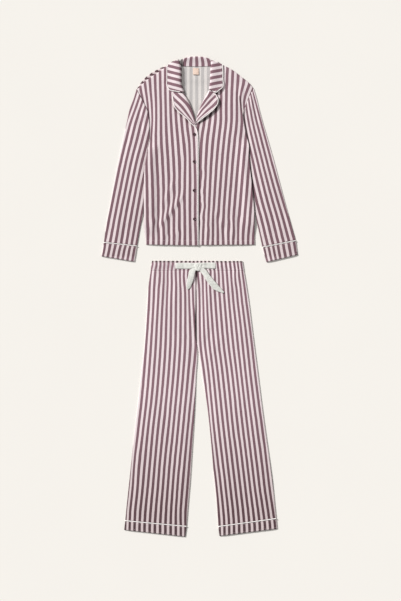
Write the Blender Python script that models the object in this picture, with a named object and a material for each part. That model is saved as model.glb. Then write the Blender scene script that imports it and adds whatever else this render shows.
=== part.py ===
"""Two-piece pyjama set laid flat: a notched-collar shirt above a pair of drawstring trousers.

All sizes are in millimetres and are turned into metres when a mesh is made.
+X is the wearer's left, +Y runs from the trouser hems to the collar, +Z is up from the
surface that the set lies on. _l and _r are the wearer's left and right.

Every piece of cloth is a wall worked out from cross sections: a table gives the two ends
of each section, and a height rule says how far its underside is above the surface.
"""

import math

import bpy

# ---------------------------------------------------------------- driving dimensions (mm)
WALL = 1.2            # garment cloth
WALL_DOUBLE = 1.6     # collar, lapels and waistband: two plies and an interlining
GAP = 0.3             # clearance between neighbouring pieces
SEAM = 0.5            # sideways clearance at a seam
PIPE_R = 1.3          # radius of the piping
PUFF = 2.3            # how far the front layer stands off the back layer
BODY_LIFT = 3.9       # how far the side of the shirt is lifted where it lies on a sleeve
COLLAR_LIFT = 1.5     # how far the back is lifted where it lies on the collar
BUTTON_D = 12.0
BUTTON_H = 2.6
WAIST_GATHER = 14.9   # spacing of the gathers in the waistband
WAIST_RIPPLE = 0.9
RIBBON_WALL = 1.0

# ---------------------------------------------------------------- cross sections
# shirt, wearer's right side: armhole from shoulder to underarm, then the side to the hem
ARMHOLE_R = ((-235.5, 780), (-220.5, 751.5), (-206.5, 723.5), (-195, 699),
             (-189, 669.5), (-187, 630), (-186.5, 587))
SIDE_R = ((-193, 557), (-198, 531), (-205, 489.5), (-208, 437),
          (-208.5, 381), (-208, 324.5), (-207, 257), (-200.5, 195.5))
ARMHOLE_L = ((202.5, 781), (189, 756), (177.5, 728.5), (168.5, 703.5),
             (164.5, 675), (170, 636), (177, 602))
SIDE_L = ((186.5, 563.5), (185.5, 531), (189, 489.5), (195, 437),
          (200, 381), (205.5, 324.5), (206.5, 257), (207, 195.5))
# inner edge of each front: neck from shoulder to first button, then the front edge
INNER_R = ((-77.5, 881.5), (-75, 842), (-72, 801), (-60, 757.5), (-44, 722),
           (-30, 688.5), (-19.5, 658.5), (-10.5, 628.5), (-7.6, 583.5), (-7, 527),
           (-7, 463.5), (-7, 399.5), (-7, 336), (-7, 264.5), (-7, 192))
INNER_L = ((55.5, 877.5), (46, 838.5), (41.5, 801), (28.5, 757.5), (14, 722),
           (2, 692), (-8.5, 662), (-23.5, 628.5), (-33, 583.5), (-34, 527),
           (-34, 463.5), (-34, 399.5), (-34, 336), (-34, 264.5), (-34, 193.5))
# top edges: shoulder seam of each front, and the whole top of the back
SHOULDER_R = ((-233.5, 776.5), (-217.5, 795), (-198.5, 812), (-177, 827.5),
              (-154.5, 842), (-130, 859), (-104, 873), (-77.5, 881.5))
SHOULDER_L = ((55.5, 877.5), (80, 872), (104, 861.5), (128, 847.5),
              (150, 831), (170, 814), (189, 799), (202.5, 781))
BACK_TOP = ((-235.5, 780), (-213.5, 812), (-186.5, 836), (-157, 853.5), (-123, 868),
            (-82.5, 881.5), (-71.8, 862), (-13.5, 860.5), (44.8, 862), (55.5, 879.5),
            (94.5, 866), (128.5, 848.5), (158.5, 825), (184, 804.5), (202.5, 781))
# sleeves: outer fold and underarm edge
SLEEVE_R = (  # x_out, y_out, x_in, y_in
    (-235.5, 780, -186.5, 587), (-247, 742.5, -192.5, 564.5), (-261, 706, -196.5, 542),
    (-272.5, 656.5, -199.5, 512), (-286.5, 591, -202, 471), (-302.5, 517.5, -204.5, 414.5),
    (-318, 441, -207.5, 358.5), (-333, 360, -211.5, 309.5), (-348.5, 279.5, -221.5, 264.5),
    (-358.5, 206, -234, 192.5))
SLEEVE_L = (  # x_in, y_in, x_out, y_out
    (177, 602, 202.5, 781), (184, 579.5, 213.5, 744.5), (187.5, 557, 223, 706),
    (185.5, 523.5, 236.5, 657), (186, 478.5, 255.5, 593), (191, 426, 277.5, 516.5),
    (197.5, 373.5, 298.5, 438), (207, 321, 319, 361), (221, 255, 340.5, 285),
    (235.5, 188, 361, 213))
CUFF_R = ((-359.2, 202, -235, 188), (-362.5, 184, -238, 168), (-368, 152.5, -244, 132))
CUFF_L = ((236, 183.5, 361.6, 208.5), (241, 165, 364, 190), (251.5, 130, 368, 157.5))
# collar and lapels: outer edge and roll
FALL_R = (  # x_out, y_out, x_roll, y_roll
    (-121, 869, -76, 888), (-123, 842, -72.5, 861), (-123, 816, -71.5, 827),
    (-123, 789.5, -70, 793.5), (-113.5, 776, -60, 765.5))
FALL_L = (  # x_roll, y_roll, x_out, y_out
    (44.6, 886.5, 87, 871), (42.5, 861, 88.5, 846), (41, 832.5, 88.5, 816),
    (40, 804.5, 89, 787.5), (36, 777, 63, 765.5))
LAPEL_R = (  # x_out, y_out, x_roll, y_roll
    (-105, 768.5, -59.5, 762.5), (-101, 742.5, -46.5, 739), (-94.5, 712.5, -36, 716.5),
    (-76, 691.5, -27.5, 696), (-52.5, 671.5, -21, 672), (-27.5, 648.5, -13.5, 646.5))
LAPEL_L = (  # x_roll, y_roll, x_out, y_out
    (34.5, 774, 60, 761.5), (26.5, 756, 70, 743), (16.5, 738, 70.5, 727.5),
    (8, 720, 60, 708), (0, 701.5, 37.5, 687), (-7.5, 681, 12, 667.5),
    (-12.2, 659, -6.5, 652.5))
STAND_TOP = ((-70.5, 889), (-42, 897), (-12, 900), (18, 897.5), (42.6, 889.5))
STAND_FOOT = ((-68.5, 864.5), (-42, 864), (-12, 863.5), (18, 864), (41.3, 864.5))
BACK_FALL_TOP = ((-115, 868), (-97, 881), (-72, 887.5), (-42, 895), (-12, 898),
                 (18, 895.5), (43, 888), (64, 879), (82, 869))
BACK_FALL_FOOT = ((-115, 846), (-97, 845), (-72, 844), (-42, 843), (-12, 843),
                  (18, 843), (43, 844), (64, 845), (82, 846))
# trousers: side edge and inner edge (centre seam down to the crotch, then inside leg)
LEG_R = (  # x_side, y_side, x_in, y_in
    (-183, 97, -10, 97), (-190, 51, -12, 51), (-195.5, -13, -14.5, -13),
    (-201.5, -106.5, -14.5, -106.5), (-205, -166.5, -11.5, -166.5),
    (-208.5, -200.5, -8, -200.5), (-219, -290.5, -12.5, -290.5), (-231, -399, -17, -399),
    (-239.5, -471, -21, -470.5), (-251, -575.5, -27.5, -575.5), (-263, -688, -34.5, -688),
    (-273, -781.5, -42.5, -781.5), (-278.5, -838, -48.5, -859.5))
LEG_L = (  # x_in, y_in, x_side, y_side
    (-9, 97, 167, 97), (-11, 51, 175, 51), (-13.5, -13, 185, -13),
    (-13.5, -106.5, 196.5, -106.5), (-10.5, -166.5, 204, -166.5),
    (-4, -200.5, 208.5, -200.5), (9, -290.5, 220, -290.5), (27.5, -399, 233.5, -399),
    (36, -470.5, 243, -470.5), (46, -575.5, 258, -575.5), (55.5, -688, 273.5, -688),
    (65, -781.5, 283, -781.5), (70, -860, 288, -830))
HEM_R = ((-278.6, -842, -48.6, -863.4), (-280.6, -858, -51, -881), (-282.5, -874.5, -53.5, -900))
HEM_L = ((70.4, -863.8, 288.2, -833.9), (72.6, -880, 290, -852), (75, -897.5, 292, -870))
WAISTBAND = ((-178, 135, 161, 134), (-181, 116.5, 164, 116), (-183, 98.8, 166.5, 98.8))
BUTTONS = ((-19.5, 609), (-19.5, 507), (-19.5, 399), (-18.5, 291.5))
LABEL_CENTRE, LABEL_SIZE = (-13.5, 845.5), (22.0, 25.0)
KNOT_CENTRE, KNOT_SIZE = (-5.0, 112.0), (29.0, 31.0)
RIBBON_R = ((-90, 127, -90, 105.5), (-55, 127.5, -55, 105), (-20.5, 127.5, -20.5, 104.5))
RIBBON_L = ((10.5, 128, 10.5, 105), (38, 128.5, 38, 105.8), (60.5, 128, 60, 105.6))
TAIL_R = (  # x and y of the two edges, and how high the underside is above the cloth
    (-36, 100.3, -14.8, 96.6, 0.4), (-42.5, 77, -20.1, 74, 1.6), (-47.5, 56, -27, 51, 0.8),
    (-48.5, 33, -40, 27, 0.4))
TAIL_L = (
    (8.4, 87.6, 23.8, 101.8, 0.4), (21.2, 68.1, 35.4, 84.9, 1.6), (37.5, 45, 61, 54, 1.2),
    (56, 26, 82, 30, 0.8), (88, 12.5, 92.4, 17.8, 0.4))

# the largest folds: a soft trough (negative) or ridge from one point to another
FOLDS = (  # x0, y0, x1, y1, half width, height
    (148, 770, 166, 640, 11, 1.0),        # in front of the left armhole
    (-168, 660, -172, 560, 12, 0.8),      # in front of the right armhole
    (-140, 330, -150, 215, 15, -1.0),     # soft waves above the shirt hem
    (-95, 300, -112, 200, 13, -0.9),
    (60, 300, 52, 205, 16, -0.9),
    (140, 330, 128, 205, 15, -1.0),
    (-121, 95, -124, -40, 9, -1.0),       # below the waistband
    (-28, 60, -12, -150, 9, 1.0),         # beside the centre seam
    (12, 60, -2, -150, 9, -0.8),
)


# ---------------------------------------------------------------- rules for heights
def ease(t):
    t = min(max(t, 0.0), 1.0)
    return t * t * (3 - 2 * t)


def fold_height(x, y):
    """Sum of the folds at a point."""
    total = 0.0
    for x0, y0, x1, y1, width, height in FOLDS:
        dx, dy = x1 - x0, y1 - y0
        long = math.hypot(dx, dy)
        s = ((x - x0) * dx + (y - y0) * dy) / long
        away = ((x - x0) * dy - (y - y0) * dx) / long
        end = ease((s + 0.25 * long) / (0.5 * long)) * ease((1.25 * long - s) / (0.5 * long))
        total += height * end * math.exp(-(away / width) ** 2)
    return total


def back_under(x, y, from_right, from_left):
    """Underside of the shirt's back: flat on the surface, lifted on the collar and the sleeves."""
    collar = COLLAR_LIFT * ease((y - 795) / 22) * ease((165 - abs(x + 13)) / 50)
    sides = 0.0
    for d, top, foot in ((from_right, 583, 545), (from_left, 598, 560)):
        along = ease((top - y) / (top - foot)) * ease((y - 225) / 60)
        sides = max(sides, BODY_LIFT * along * ease((52 - d) / 34))
    return max(collar, sides)


def crown(d, reach):
    return ease(d / reach)


# ---------------------------------------------------------------- mesh builders
def wipe():
    for o in list(bpy.data.objects):
        bpy.data.objects.remove(o, do_unlink=True)


def finish(name, points, faces, colour, roughness, smooth=True):
    mesh = bpy.data.meshes.new(name)
    mesh.from_pydata([(x / 1000, y / 1000, z / 1000) for x, y, z in points], [], faces)
    mesh.update()
    material = bpy.data.materials.new(name)
    material.use_nodes = True
    shader = material.node_tree.nodes["Principled BSDF"]
    shader.inputs["Base Color"].default_value = (*colour, 1)
    shader.inputs["Roughness"].default_value = roughness
    shader.inputs["Metallic"].default_value = 0.0
    mesh.materials.append(material)
    ob = bpy.data.objects.new(name, mesh)
    bpy.context.scene.collection.objects.link(ob)
    if smooth:
        mesh.shade_smooth()
        mesh.set_sharp_from_angle(angle=math.radians(35))
    return ob


CLOTH, INSIDE, TRIM = (0.55, 0.36, 0.42), (0.72, 0.68, 0.68), (0.93, 0.90, 0.89)
BUTTON, RIBBON, TAPE = (0.16, 0.06, 0.08), (0.86, 0.87, 0.83), (0.83, 0.68, 0.60)


def sections(rows, columns, top=None, fade=()):
    """A grid of (x, y): straight sections between each row's ends. Where a top curve is
    given the first section follows it, and the next ones straighten out."""
    grid = []
    if top:
        x0, y0, x1, y1 = rows[0]
        long2 = (x1 - x0) ** 2 + (y1 - y0) ** 2
        share = [((px - x0) * (x1 - x0) + (py - y0) * (y1 - y0)) / long2 for px, py in top]
        bow = [(px - x0 - f * (x1 - x0), py - y0 - f * (y1 - y0))
               for (px, py), f in zip(top, share)]
    else:
        share = [i / columns for i in range(columns + 1)]
        bow = [(0.0, 0.0)] * (columns + 1)
    for k, (x0, y0, x1, y1) in enumerate(rows):
        w = fade[k] if k < len(fade) else (1.0 if top and k == 0 else 0.0)
        grid.append([(x0 + f * (x1 - x0) + w * bx, y0 + f * (y1 - y0) + w * by)
                     for f, (bx, by) in zip(share, bow)])
    return grid


def panel(name, grid, under, wall, colour=CLOTH, roughness=0.8):
    """A wall of cloth over a grid of (x, y). under gives the height of its underside."""
    nv, nu = len(grid), len(grid[0])
    low, high = [], []
    for j, row in enumerate(grid):
        for i, (x, y) in enumerate(row):
            z = under(x, y, math.dist(row[0], row[i]), math.dist(row[-1], row[i]))
            low.append((x, y, z))
            high.append((x, y, z + wall))
    n = nu * nv
    (x0, y0), (x1, y1), (x2, y2) = grid[0][0], grid[0][-1], grid[-1][0]
    flip = (x1 - x0) * (y2 - y0) < (y1 - y0) * (x2 - x0)
    faces = []

    def add(*f):
        faces.append(f if flip else tuple(reversed(f)))

    for j in range(nv - 1):
        for i in range(nu - 1):
            a, b, c, d = j * nu + i, j * nu + i + 1, (j + 1) * nu + i + 1, (j + 1) * nu + i
            add(a, b, c, d)
            add(n + d, n + c, n + b, n + a)
    rim = ([i for i in range(nu)] + [j * nu + nu - 1 for j in range(1, nv)]
           + [(nv - 1) * nu + i for i in range(nu - 2, -1, -1)]
           + [j * nu for j in range(nv - 2, 0, -1)])
    for a, b in zip(rim, rim[1:] + rim[:1]):
        add(b, a, n + a, n + b)
    return finish(name, low + high, faces, colour, roughness)


def tube(name, grid, top, wall, edge_z, colour=CLOTH, roughness=0.8):
    """A sleeve, cuff or hem band pressed flat: one wall all round. top gives the height of
    its upper surface, its underside lies on the surface, and its two sides are folds."""
    nv = len(grid)
    rings = []
    for row in grid:
        width = math.dist(row[0], row[-1])
        ux, uy = (row[-1][0] - row[0][0]) / width, (row[-1][1] - row[0][1]) / width
        for inset, z_low, shrink in ((0.0, 0.0, 0.0), (wall, wall, wall)):
            upper, lower = [], []
            for i, (x, y) in enumerate(row):
                push = 0.0
                if i == 0:
                    push = inset + 1.1
                elif i == len(row) - 1:
                    push = -inset - 1.1
                px, py = x + ux * push, y + uy * push
                d0, d1 = math.dist(row[0], (x, y)), math.dist(row[-1], (x, y))
                upper.append((px, py, top(x, y, d0, d1) - shrink))
                lower.append((px, py, z_low))
            (x0, y0), (x1, y1) = row[0], row[-1]
            side0 = (x0 + ux * inset, y0 + uy * inset, edge_z / 2)
            side1 = (x1 - ux * inset, y1 - uy * inset, edge_z / 2)
            rings.append([side0] + upper + [side1] + lower[::-1])
    m = len(rings[0])
    points = [p for ring in rings for p in ring]
    faces = []
    turn = (grid[0][-1][0] > grid[0][0][0]) == (grid[-1][0][1] < grid[0][0][1])

    def add(*f):
        faces.append(f if turn else tuple(reversed(f)))

    for j in range(nv - 1):
        for i in range(m):
            k = (i + 1) % m
            o, o2 = 2 * j * m, 2 * (j + 1) * m
            add(o + i, o2 + i, o2 + k, o + k)
            add(o + m + k, o2 + m + k, o2 + m + i, o + m + i)
    last = 2 * (nv - 1) * m
    for i in range(m):
        k = (i + 1) % m
        add(i, k, m + k, m + i)
        add(last + m + i, last + m + k, last + k, last + i)
    return finish(name, points, faces, colour, roughness)


def cord(name, path, radius, closed=False, sides=6, colour=TRIM):
    """Round piping along a path of (x, y, z)."""
    n, points, faces = len(path), [], []
    for k, (x, y, z) in enumerate(path):
        a = path[(k - 1) % n] if closed or k else path[k]
        b = path[(k + 1) % n] if closed or k < n - 1 else path[k]
        t = [b[i] - a[i] for i in range(3)]
        size = math.sqrt(sum(c * c for c in t))
        t = [c / size for c in t]
        up = (0, 0, 1)
        if abs(t[2]) > 0.8:
            up = (t[0], t[1], 0) if math.hypot(t[0], t[1]) > 0.05 else (0, 1, 0)
        side = (t[1] * up[2] - t[2] * up[1], t[2] * up[0] - t[0] * up[2], t[0] * up[1] - t[1] * up[0])
        size = math.sqrt(sum(c * c for c in side))
        side = [c / size for c in side]
        rise = (side[1] * t[2] - side[2] * t[1], side[2] * t[0] - side[0] * t[2], side[0] * t[1] - side[1] * t[0])
        for s in range(sides):
            q = 2 * math.pi * (s + 0.5) / sides
            c, v = radius * math.cos(q), radius * math.sin(q)
            points.append((x + side[0] * c + rise[0] * v, y + side[1] * c + rise[1] * v,
                           z + side[2] * c + rise[2] * v))
    for k in range(n if closed else n - 1):
        o, p = k * sides, ((k + 1) % n) * sides
        for s in range(sides):
            r = (s + 1) % sides
            faces.append((o + s, p + s, p + r, o + r))
    if not closed:
        faces.append(tuple(range(sides)))
        faces.append(tuple((n - 1) * sides + s for s in reversed(range(sides))))
    return finish(name, points, faces, colour, 0.6)


def disc(name, centre, z, radius, height, sides=20):
    """A button: a turned disc with a rounded rim and a shallow dish, closed at its axis."""
    profile = ((0.0, 0.0), (0.78, 0.0), (0.97, 0.28), (1.0, 0.6), (0.86, 1.0),
               (0.66, 0.92), (0.5, 0.62), (0.0, 0.62))
    points, faces = [(centre[0], centre[1], z)], []
    for r, h in profile[1:-1]:
        for s in range(sides):
            q = 2 * math.pi * s / sides
            points.append((centre[0] + radius * r * math.cos(q),
                           centre[1] + radius * r * math.sin(q), z + height * h))
    points.append((centre[0], centre[1], z + height * profile[-1][1]))
    rings = len(profile) - 2
    for s in range(sides):
        r = (s + 1) % sides
        faces.append((0, 1 + r, 1 + s))
        for k in range(rings - 1):
            o, p = 1 + k * sides, 1 + (k + 1) * sides
            faces.append((o + s, o + r, p + r, p + s))
        o = 1 + (rings - 1) * sides
        faces.append((o + s, o + r, len(points) - 1))
    return finish(name, points, faces, BUTTON, 0.35)


# ---------------------------------------------------------------- the shirt
def shirt_back_under(x, y, d0, d1):
    return back_under(x, y, d0, d1)


def left_front_under(x, y, d_in, d_side):
    base = back_under(x, y, 999, d_side) + WALL + GAP
    puff = 0.5 * ease(d_side / 20) + (PUFF - 0.5) * crown(d_side, 45) * ease((d_in - 26) / 40)
    return base + puff + 0.8 * fold_height(x, y) * crown(d_side, 30) * ease((d_in - 26) / 40)


def right_front_under(x, y, d_side, d_in):
    base = back_under(x, y, d_side, 999) + WALL + GAP
    hold = max(PUFF, 0.5 + WALL + GAP + 0.2) * crown(d_side, 45)
    return base + hold + 0.8 * fold_height(x, y) * crown(d_side, 30) * ease((d_in - 20) / 30)


def front_top(x, y):
    """Top of whichever front is under a piece of collar, lapel or trim."""
    return back_under(x, y, 999, 999) + WALL + GAP + PUFF + WALL


def sleeve_top(x, y, d0, d1):
    return 2 * WALL + GAP + 2.0 * crown(min(d0, d1), 45)


def band_top(x, y, d0, d1):
    return 2 * WALL_DOUBLE + GAP + 1.2 * crown(min(d0, d1), 20)


def build_shirt():
    # back: every section runs from one side of the shirt to the other
    left, right = ARMHOLE_L + SIDE_L, ARMHOLE_R + SIDE_R
    rows = [(*r, *l) for r, l in zip(right, left)]
    fade = (1, 0.85, 0.7, 0.55, 0.42, 0.3, 0.2, 0.1)
    panel("shirt_back", sections(rows, 14, BACK_TOP, fade), shirt_back_under, WALL, INSIDE)
    # fronts
    rows = [(*o, *i) for o, i in zip(right, INNER_R)]
    rows[0] = (*SHOULDER_R[0], *SHOULDER_R[-1])
    panel("shirt_front_r", sections(rows, 7, SHOULDER_R, (1, 0.5, 0.2)), right_front_under, WALL)
    rows = [(*i, *o) for i, o in zip(INNER_L, left)]
    rows[0] = (*SHOULDER_L[0], *SHOULDER_L[-1])
    panel("shirt_front_l", sections(rows, 7, SHOULDER_L, (1, 0.5, 0.2)), left_front_under, WALL)
    # sleeves: the first section follows the armhole
    fade = (1, 0.8, 0.6, 0.4, 0.2)
    for name, rows, hole, out in (("sleeve_r", SLEEVE_R, ARMHOLE_R, -1),
                                  ("sleeve_l", SLEEVE_L, ARMHOLE_L[::-1], 1)):
        rows = [list(r) for r in rows]
        top = [(x + out * SEAM, y) for x, y in hole]
        for k, wide in enumerate((1, 1, 0.6)):
            rows[k][0] += out * SEAM * wide
            rows[k][2] += out * SEAM * wide
        tube(name, sections(rows, 6, top, fade), sleeve_top, WALL, 2 * WALL + GAP)
    for name, rows in (("cuff_r", CUFF_R), ("cuff_l", CUFF_L)):
        tube(name, sections(rows[:], 6), band_top, WALL_DOUBLE, 2 * WALL_DOUBLE + GAP)
    for name, sleeve, cuff in (("cuff_piping_r", SLEEVE_R[-1], CUFF_R[0]),
                               ("cuff_piping_l", SLEEVE_L[-1], CUFF_L[0])):
        ring_piping(name, sleeve, cuff)

    # collar
    fall_wall = WALL_DOUBLE
    for name, rows, side in (("collar_fall_r", FALL_R, 0), ("collar_fall_l", FALL_L, 1)):
        rows = inset_rows(rows, side, 2 * PIPE_R + GAP)
        rows[-1] = shift_row(rows[-1], 0, GAP + 0.5 * PIPE_R)

        def fall_under(x, y, d0, d1, side=side):
            out = d1 if side else d0
            return front_top(x, y) + GAP + 0.6 + 0.5 * ease((30 - out) / 25) * (1 + side)
        panel(name, sections(rows, 4), fall_under, fall_wall)
    grid = [list(STAND_TOP), [((a[0] + b[0]) / 2, (a[1] + b[1]) / 2) for a, b in zip(STAND_TOP, STAND_FOOT)],
            list(STAND_FOOT)]
    panel("collar_stand", grid, lambda x, y, d0, d1: WALL + GAP + 2.2 * crown(min(d0, d1), 18), WALL_DOUBLE)
    grid = [list(BACK_FALL_TOP), list(BACK_FALL_FOOT)]
    panel("collar_fall_back", grid, lambda x, y, d0, d1: 0.0, WALL)
    # lapels
    for name, rows, side in (("lapel_r", LAPEL_R, 0), ("lapel_l", LAPEL_L, 1)):
        rows = inset_rows(rows, side, 2 * PIPE_R + 3 * GAP)
        rows[0] = shift_row(rows[0], 0, -GAP - 0.5 * PIPE_R)

        def lapel_under(x, y, d0, d1, side=side):
            out = d1 if side else d0
            return front_top(x, y) + GAP + 0.3 + (0.5 + 0.9 * side) * ease((26 - out) / 24) * ease((y - 640) / 60)
        panel(name, sections(rows, 4), lapel_under, fall_wall)
    # piping: round the two falls, round the lapels, and down the front edge
    for name, fall, lapel, side, front in (
            ("collar_piping_r", FALL_R, LAPEL_R, 0, INNER_R[7:]),
            ("collar_piping_l", FALL_L, LAPEL_L, 1, ())):
        edge = [row[2:] if side else row[:2] for row in fall]
        rise = GAP + 0.6 + 0.5 * (1 + side) + WALL_DOUBLE / 2
        end = (edge[-1][0] - (1 - 2 * side) * 2.0, edge[-1][1] + PIPE_R * 0.4)
        cord(name, smooth_path([(*inner(p, side, PIPE_R), front_top(*p) + rise) for p in edge[:-1]]
                               + [(*end, front_top(*end) + rise)]), PIPE_R)
        edge = [row[2:] if side else row[:2] for row in lapel]
        z = front_top(0, 700) + GAP + 0.3 + 0.5 + 0.9 * side + WALL_DOUBLE / 2
        path = [(*inner(p, side, PIPE_R), z - (0.5 + 0.9 * side) * ease((700 - p[1]) / 60)) for p in edge]
        if front:
            path = path[:-1]
            z_front = front_top(0, 500) - WALL / 2 + 0.5
            path.append((-31.5, 650.0, z))
            path.append((-19.5, 641.0, z))
            path.append((-9.2, 631.5, z_front + 0.8))
            path += [(x + PIPE_R + GAP, y, z_front) for x, y in front[1:]]
        cord(name.replace("collar", "lapel"), smooth_path(path), PIPE_R)


def inset_rows(rows, side, by):
    """Rows with their outer end (0 the first, 1 the second) moved inwards."""
    made = []
    for x0, y0, x1, y1 in rows:
        long = math.hypot(x1 - x0, y1 - y0)
        f = min(by / long, 0.45)
        if side:
            made.append((x0, y0, x1 - f * (x1 - x0), y1 - f * (y1 - y0)))
        else:
            made.append((x0 + f * (x1 - x0), y0 + f * (y1 - y0), x1, y1))
    return made


def shift_row(row, dx, dy):
    return (row[0] + dx, row[1] + dy, row[2] + dx, row[3] + dy)


def inner(p, side, by):
    return (p[0] + by * (1 - 2 * side), p[1])


def smooth_path(points, steps=2):
    """Points along a soft curve through the given ones."""
    out = []
    n = len(points)
    for k in range(n - 1):
        p0, p1 = points[max(k - 1, 0)], points[k]
        p2, p3 = points[k + 1], points[min(k + 2, n - 1)]
        for s in range(steps):
            t = s / steps
            out.append(tuple(
                0.5 * (2 * b + (c - a) * t + (2 * a - 5 * b + 4 * c - d) * t * t
                       + (3 * b - a - 3 * c + d) * t ** 3)
                for a, b, c, d in zip(p0, p1, p2, p3)))
    out.append(points[-1])
    return out


def ring_piping(name, above, below):
    """Piping caught in a seam round a flattened sleeve or leg: over the top and underneath."""
    x0, y0 = (above[0] + below[0]) / 2, (above[1] + below[1]) / 2
    x1, y1 = (above[2] + below[2]) / 2, (above[3] + below[3]) / 2
    low, high, n = PIPE_R, 3.2 * PIPE_R + GAP, 5
    path = [(x0 + (x1 - x0) * i / n, y0 + (y1 - y0) * i / n, high) for i in range(n + 1)]
    path += [(x1 + (x1 - x0) / 90, y1 + (y1 - y0) / 90, (low + high) / 2)]
    path += [(x1 + (x0 - x1) * i / n, y1 + (y0 - y1) * i / n, low) for i in range(n + 1)]
    path += [(x0 - (x1 - x0) / 90, y0 - (y1 - y0) / 90, (low + high) / 2)]
    cord(name, path, PIPE_R, closed=True)


def build_buttons_and_label():
    for k, (x, y) in enumerate(BUTTONS):
        z = right_front_under(x, y, 999, abs(x + 10)) + WALL + GAP + 0.1
        disc(f"button_{k + 1}", (x, y), z, BUTTON_D / 2, BUTTON_H)
    (cx, cy), (w, h) = LABEL_CENTRE, LABEL_SIZE
    grid = [[(cx - w / 2, cy + h / 2), (cx + w / 2, cy + h / 2)],
            [(cx - w / 2, cy - h / 2), (cx + w / 2, cy - h / 2)]]
    panel("neck_label", grid, lambda x, y, d0, d1: COLLAR_LIFT + WALL + GAP, 1.0, TAPE)


# ---------------------------------------------------------------- the trousers
def leg_front_under(x, y, side, inside):
    seam = 0.45 + 0.55 * ease((-150 - y) / 90)      # the centre seam dips less than a side seam
    puff = PUFF * crown(side, 40) * (1 - seam + seam * crown(inside, 40))
    return WALL + GAP + puff + 0.8 * fold_height(x, y) * crown(min(side, inside), 25)


def waist_ripple(x):
    return WAIST_RIPPLE * (0.5 + 0.5 * math.cos(2 * math.pi * (x + 8.5) / WAIST_GATHER))


def build_trousers():
    for name, rows, shift in (("r", LEG_R, -0.2), ("l", LEG_L, 0.2)):
        rows = [list(r) for r in rows]
        k = 2 if name == "r" else 0
        for j in range(6):
            rows[j][k] += shift
        grid = sections(rows, 8)
        panel(f"trouser_back_{name}", sections(rows, 4), lambda x, y, d0, d1: 0.0, WALL)
        if name == "r":
            panel("trouser_front_r", grid, leg_front_under, WALL)
        else:
            panel("trouser_front_l", grid, lambda x, y, d0, d1: leg_front_under(x, y, d1, d0), WALL)
    for name, leg, hem in (("r", LEG_R, HEM_R), ("l", LEG_L, HEM_L)):
        # the band starts clear of the piping
        tube(f"hem_band_{name}", sections(list(hem), 7), band_top, WALL_DOUBLE, 2 * WALL_DOUBLE + GAP)
        ring_piping(f"hem_piping_{name}", leg[-1], hem[0])
    count = round((WAISTBAND[0][2] - WAISTBAND[0][0]) / WAIST_GATHER)
    panel("waistband_back", sections(WAISTBAND, 6), lambda x, y, d0, d1: 0.0, WALL_DOUBLE)
    panel("waistband_front", sections(WAISTBAND, 2 * count),
          lambda x, y, d0, d1: WALL_DOUBLE + GAP + 1.2 * crown(min(d0, d1), 15) + waist_ripple(x),
          WALL_DOUBLE)


def ribbon_base(x, y):
    """Highest cloth under the ribbon."""
    if y > 98:
        return 2 * WALL_DOUBLE + GAP + 1.2 + WAIST_RIPPLE
    return 2 * WALL + GAP + PUFF + 0.9


def build_ribbon():
    for name, rows in (("ribbon_r", RIBBON_R), ("ribbon_l", RIBBON_L)):
        grid = [[(x0, y0), ((x0 + x1) / 2, (y0 + y1) / 2), (x1, y1)] for x0, y0, x1, y1 in rows]
        panel(name, grid, lambda x, y, d0, d1: ribbon_base(x, y) + GAP, RIBBON_WALL, RIBBON)
    (cx, cy), (w, h) = KNOT_CENTRE, KNOT_SIZE
    base = ribbon_base(cx, cy) + GAP
    points, faces, sides = [], [], 14
    rings = ((0.86, 0.0), (1.0, 1.6), (0.93, 3.4), (0.68, 4.9), (0.34, 5.6))
    for f, z in rings:
        for s in range(sides):
            q = 2 * math.pi * s / sides
            c, v = math.cos(q), math.sin(q)
            points.append((cx + f * w / 2 * math.copysign(abs(c) ** 0.75, c),
                           cy + f * h / 2 * math.copysign(abs(v) ** 0.75, v), base + z))
    for k in range(len(rings) - 1):
        for s in range(sides):
            r = (s + 1) % sides
            o, p = k * sides, (k + 1) * sides
            faces.append((o + s, o + r, p + r, p + s))
    faces.append(tuple(reversed(range(sides))))
    faces.append(tuple((len(rings) - 1) * sides + s for s in range(sides)))
    finish("ribbon_knot", points, faces, RIBBON, 0.5)
    for name, rows in (("ribbon_tail_r", TAIL_R), ("ribbon_tail_l", TAIL_L)):
        grid, lift = [], {}
        for x0, y0, x1, y1, up in rows:
            line = [(x0, y0), ((x0 + x1) / 2, (y0 + y1) / 2), (x1, y1)]
            grid.append(line)
            for p in line:
                lift[p] = up
        panel(name, grid, lambda x, y, d0, d1: ribbon_base(x, y) + GAP + lift[(x, y)], RIBBON_WALL, RIBBON)


wipe()
build_shirt()
build_buttons_and_label()
build_trousers()
build_ribbon()
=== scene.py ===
"""Looks of the two-piece pyjama set laid flat: striped cotton shirt and drawstring trousers.

Lengths in this file are millimetres until a mesh is made. Every piece of cloth is a thin
shell built from the same edges as its solid, with its own height rule for folds and rolls,
and carries a cloth coordinate: the number of the stripe across it, the length along it,
and a third number of painted shade that darkens its colour.
"""

import math

import bpy
import numpy as np
from mathutils import Matrix, Vector


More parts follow.
